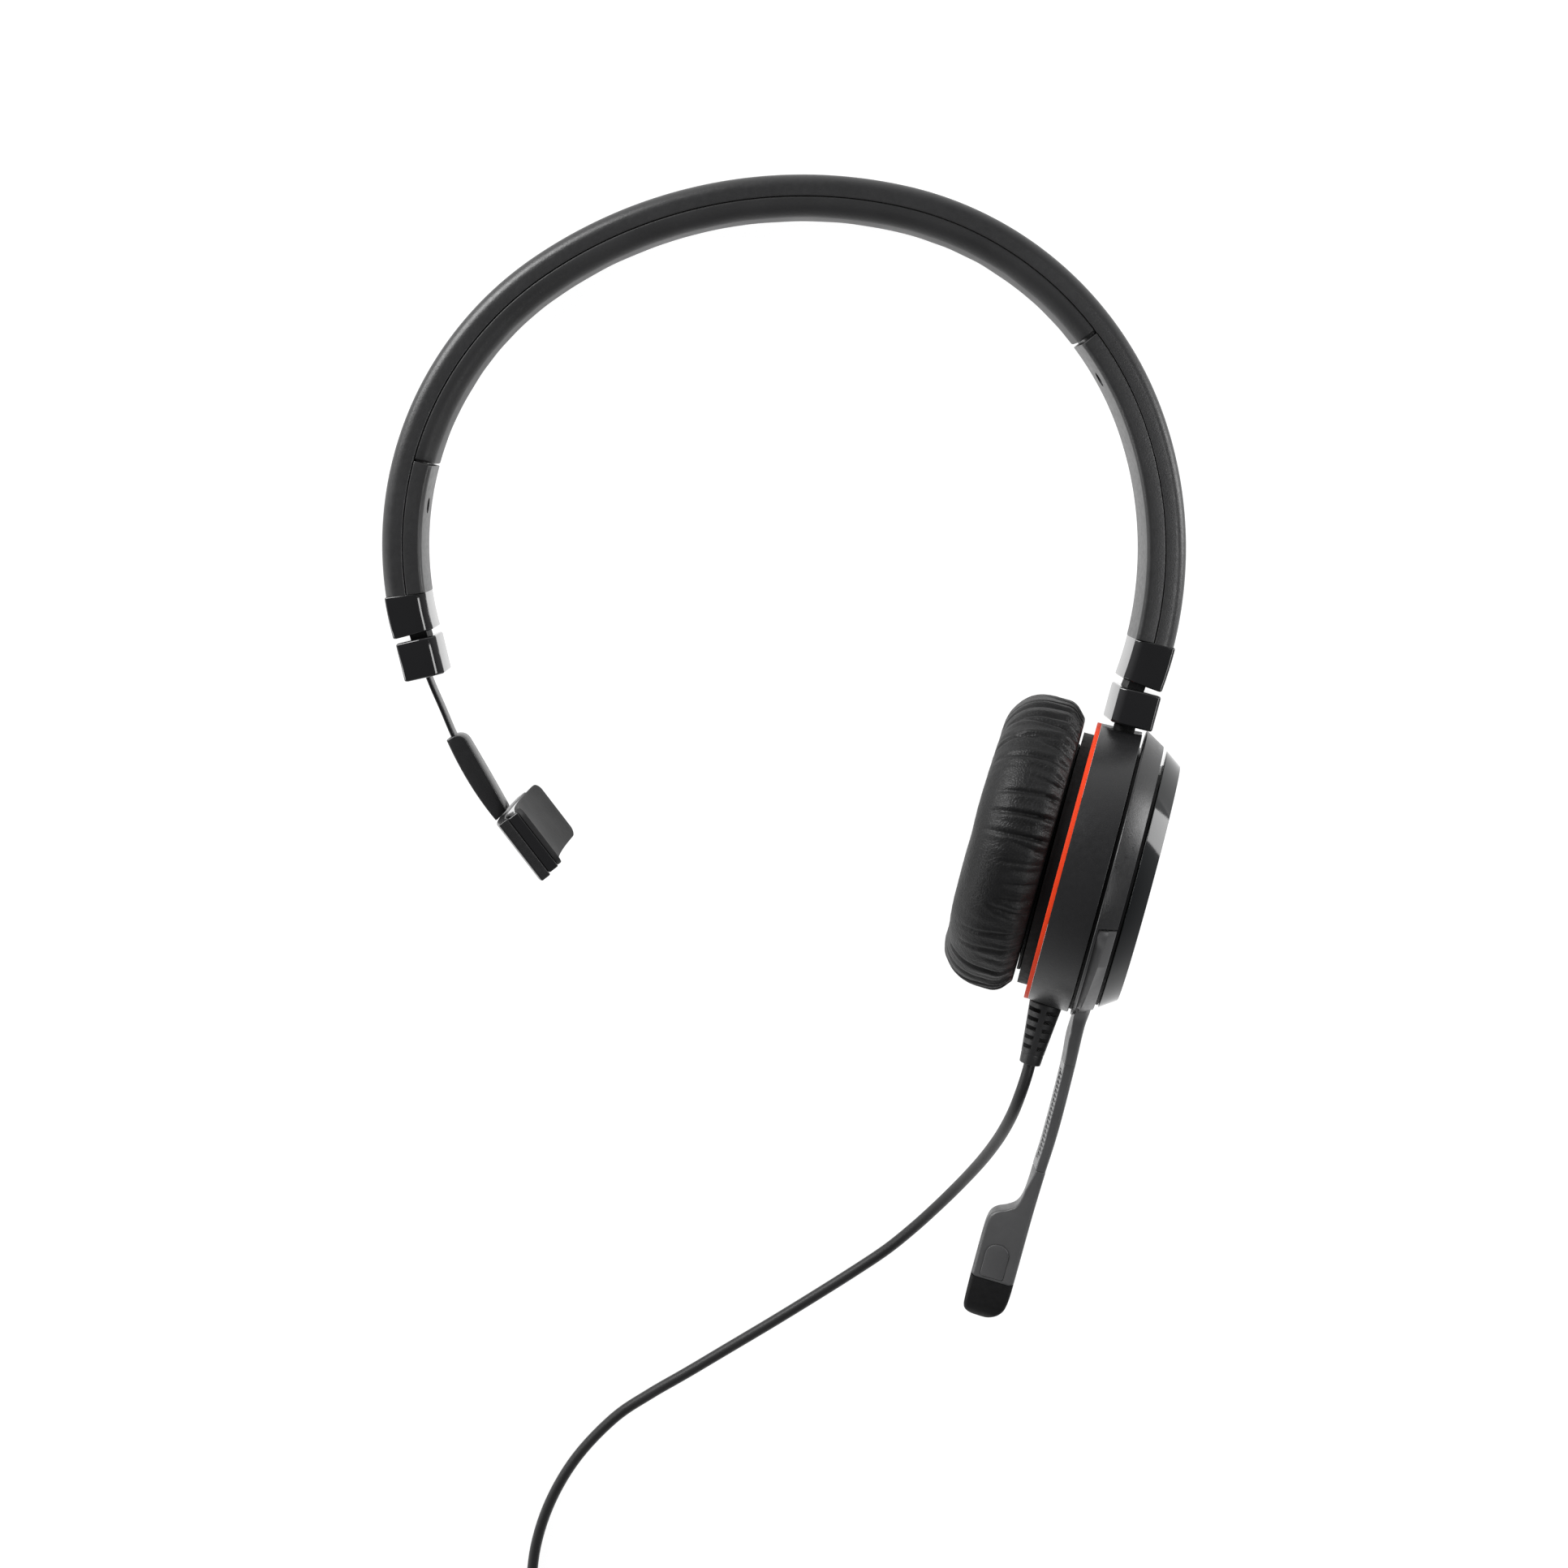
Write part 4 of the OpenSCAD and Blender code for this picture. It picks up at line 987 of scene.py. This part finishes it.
def make_boom_ring():
    """The ring that turns with the boom, and near-black fillers in the grooves on either side of it that paint the
    grooves' shade.
    """
    profile = fillet([
        (22.36, 8.95, 0), (27.4, 8.95, 0), (27.4, 9.5, 0.1), (31.1, 9.5, 0.12), (31.3, 9.75, 0.2),
        (28.9, 13.9, 0.15), (24.8, 13.9, 0), (24.8, 14.55, 0), (22.36, 14.55, 0)], 4)
    ring = lathe("boom_collar", profile)
    groove = [Vector(p) for p in ((28.2, 10.15), (28.2, 15), (33, 15), (33, 10.15))]
    cut(ring, lathe("cutter", groove, CUP, -RECESS, RECESS))
    finished(sharp(ring), "boom", "cup_plastic", "boom_ring")
    # The fillers are near-black inner_plastic standing in for the shade deep in the grooves: painted shade.
    for name, outline in [
            ("ring_groove_shade_front", ((27.3, 8.97), (30.1, 8.97), (30.1, 9.55), (27.3, 9.55))),
            ("ring_groove_shade_back", ((24.7, 13.85), (27.8, 13.85), (27.8, 14.55), (24.7, 14.55)))]:
        groove_shade = lathe(name, [Vector(p) for p in outline], CUP, -150, 150)
        finished(sharp(groove_shade), "boom", "inner_plastic")


# Along the boom, from its tip's end up: where its inner and outer faces lie, and half its depth.
BOOM_INNER = [(-65.9, 10.2), (-60, 10.45), (-53.9, 10.45), (-41.9, 10.2), (-36, 9.75), (-31.5, 10.0),
              (-29.5, 10.2), (-26.5, 10.2)]
BOOM_OUTER = [(-65.9, 13.3), (-60, 13.6), (-53.9, 13.7), (-41.9, 13.5), (-33, 13.2), (-29, 13.4), (-26.5, 13.4)]
BOOM_HALF = [(-65.9, 3.3), (-53.9, 3.3), (-41.9, 3.5), (-36, 4.1), (-33, 4.6), (-31, 5.4), (-29, 7.4),
             (-26.5, 12.0)]
BOOM_DRAFT = 0.95  # how far the inner face leans, back to front


def boom_outline(y):
    """Section across the boom: a flat inner face that leans a little towards the front, softer outer edges."""
    inner, outer, half = (follow(t, y) for t in (BOOM_INNER, BOOM_OUTER, BOOM_HALF))
    lean = BOOM_DRAFT * min(max((-29 - y) / 6, 0), 1)
    face = [Vector((inner + lean * (half + z) / (2 * half), z))
            for z in (half * 0.75, half * 0.45, half * 0.1, -0.8, -1.0)]
    corners = [(inner, -half, 0.3), (outer, -half, 0.9), (outer, half, 0.9), (inner + lean, half, 0.3)]
    return fillet(corners, 6) + face


ARM_TOP, ARM_END = -26.5, -41.85


def make_boom_arm():
    """The arm below the ring, and the arc by which it lies in the ring's recess, with a channel along it."""
    loops = []
    for i in range(41):
        y = ARM_TOP + (ARM_END - ARM_TOP) * i / 40
        loops.append([(p.x, y, p.y) for p in boom_outline(y)])
    arm = loft("boom_root", loops, CUP)
    rings = []
    end = RECESS - 0.9
    for i in range(161):
        angle = -end + 2 * end * i / 160
        a = math.radians(angle)
        dip = min(max((end - 2.5 - abs(angle)) / 6, 0), 1)
        dip *= dip * (3 - 2 * dip)
        width = 0.5 + 1.5 * min(max((abs(angle) - 20) / 45, 0), 1)
        edge = 0.25 * max(0.0, 1 - (end - abs(angle)) / 1.2)
        top = 30.95 - edge
        floor = top - 0.8 * dip
        section = [
            (28.25, 10.2), (28.25, 13.86), (28.95 - edge, 13.86), (29.05 - edge, 13.75),
            (30.1 - edge, 11.9 + 0.1 * width), (top - 0.35 - 0.2 * dip, 10.75 + width * 0.75),
            (floor - 0.05, 10.6 + width * 0.45), (floor, 10.3), (floor - 0.1, 10.2)]
        rings.append([(x, -r * math.cos(a), r * math.sin(a)) for r, x in section])
    inlay = loft("boom_inlay", rings, CUP)
    finished(sharp(arm), "boom", "boom_plastic", "boom_arm")
    finished(sharp(inlay, 50), "boom", "boom_plastic")


BEAD = 1.02  # from one bead to the next


def make_sleeve():
    """One flexible sleeve with beads along its inner front edge."""
    y0, y1 = -41.9, -65.9
    first, last = -43.6, -64.0
    loops = []
    steps = 280
    for i in range(steps + 1):
        y = y0 + (y1 - y0) * i / steps
        inner, outer = follow(BOOM_INNER, y), follow(BOOM_OUTER, y)
        inside = min(max(min(first - y, y - last) / 0.3, 0), 1)
        gap = min(1.0, 1.9 * (1 - abs(math.sin(math.pi * (y - first) / BEAD))))
        half = follow(BOOM_HALF, y)
        loop = []
        for p in boom_outline(y):
            front_inner = p.x < (inner + outer) / 2 and p.y > -0.9
            draw = inside * gap * BOOM_DRAFT * (half - p.y) / (2 * half) if front_inner else 0
            loop.append((p.x + draw, y, p.y))
        loops.append(loop)
    sleeve = loft("boom_sleeve", loops, CUP)
    dress(sharp(sleeve, 50), "boom_rubber")
    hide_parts("boom_flex_upper", "boom_flex_lower")
    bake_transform(sleeve)


MIC_DRAFT = [(-71, 0), (-66.5, BOOM_DRAFT)]
MIC_INNER = [(-100.8, 6.9), (-100.65, 5.6), (-100.2, 4.5), (-99.3, 3.85), (-97.5, 3.6), (-91, 3.5), (-82, 3.55),
             (-79.5, 3.75), (-78, 4.3), (-77, 5.4), (-76.2, 7.2), (-75, 8.9), (-73, 9.8), (-70, 10.15),
             (-65.9, 10.25)]
MIC_OUTER = [(-100.8, 7.7), (-100.6, 9.2), (-99.9, 10.6), (-98.9, 11.7), (-97.5, 12.5), (-95, 12.9), (-91, 13.0),
             (-76, 13.1), (-65.9, 13.35)]
MIC_HALF = [(-100.8, 1.2), (-100.6, 2.2), (-100, 3.1), (-99, 3.8), (-97, 4.3), (-91, 4.4), (-84, 4.1), (-76, 3.6),
            (-70, 3.3), (-65.9, 3.3)]
CREASE = [(-100.8, 8.4), (-84, 8.6), (-79, 9.3), (-75.5, 11.5), (-72, 13.2)]


def seam_bow(x, y):
    """How far the seam round the microphone's end bows away from straight, fading either side of it."""
    across = (x - 8.25) / 4.75
    near = max(0.0, 1 - abs(y + 91) / 6) ** 1.5
    return near * (0.91 * across * across + 0.04 * across - 1.45)


def mic_loops(y0, y1, steps, draw):
    """Sections of the microphone; the front slopes away on the inner side of a soft crease."""
    loops = []
    for i in range(steps + 1):
        y = y0 + (y1 - y0) * i / steps
        inner, outer, half = (follow(t, y) for t in (MIC_INNER, MIC_OUTER, MIC_HALF))
        crease = follow(CREASE, y)
        ends = min(i, steps - i) / steps * abs(y1 - y0)
        inset = draw * (1 - min(ends / draw, 1)) ** 2
        inner_soft = min(0.35 + 0.55 * min(max((-74 - y) / 4, 0), 1), half - 0.3)
        corners = [(inner + inset, -half + inset, inner_soft), (outer - inset, -half + inset, 0.8),
                   (outer - inset, half - inset, 0.8),
                   (inner + inset + follow(MIC_DRAFT, y), half - inset, inner_soft)]
        width = outer - inner
        loop = []
        for p in fillet([(x, z, min(r, width / 2 - 0.1, half - 0.2)) for x, z, r in corners], 8):
            fall = 1 - 0.15 * max(0.0, crease - p.x) / max(half, 1.0) * min(1.0, width / 6)
            loop.append((p.x, y + seam_bow(p.x, y), p.y * fall))
        loops.append(loop)
    return loops


def panel_outline(grow):
    """The sound port's plate: an arch at the top, square below."""
    x0, x1, y0, y1 = 5.4 - grow, 10.5 + grow, -91.2 - grow, -83.8 + grow
    return fillet([(x0, y0, 0.5), (x1, y0, 0.5), (x1, y1, 2.4 + grow), (x0, y1, 2.4 + grow)], 8)


def make_microphone():
    head = loft("mic_body", mic_loops(-65.95, -90.95, 120, 0.15), CUP)
    cut(head, prism("cutter", panel_outline(0.07), 3.6, 7, CUP))
    finished(sharp(head, 45), "boom_tip", "boom_plastic", "mic_housing")
    tip = loft("mic_end", mic_loops(-91.05, -100.8, 70, 0.15), CUP)
    finished(sharp(tip, 50), "boom_tip", "mic_tip", "mic_tip")
    panel = prism("mic_port", panel_outline(0), 3.4, 4.25, CUP, 0.1, 3)
    finished(sharp(panel), "boom_tip", "boom_plastic", "mic_port_panel")


# ---------------------------------------------------------------- the whole

relief = make_relief()
plug = make_plug()
tie = make_tie()
make_cord()
make_headband()
make_sliders()
make_temple_support()
make_housing()
make_cap()
make_cushion()
make_boom_ring()
make_boom_arm()
make_sleeve()
make_microphone()

for part in frame["record"]["subparts"]:
    dress(NODES[part["node"]], part["material_slot"])
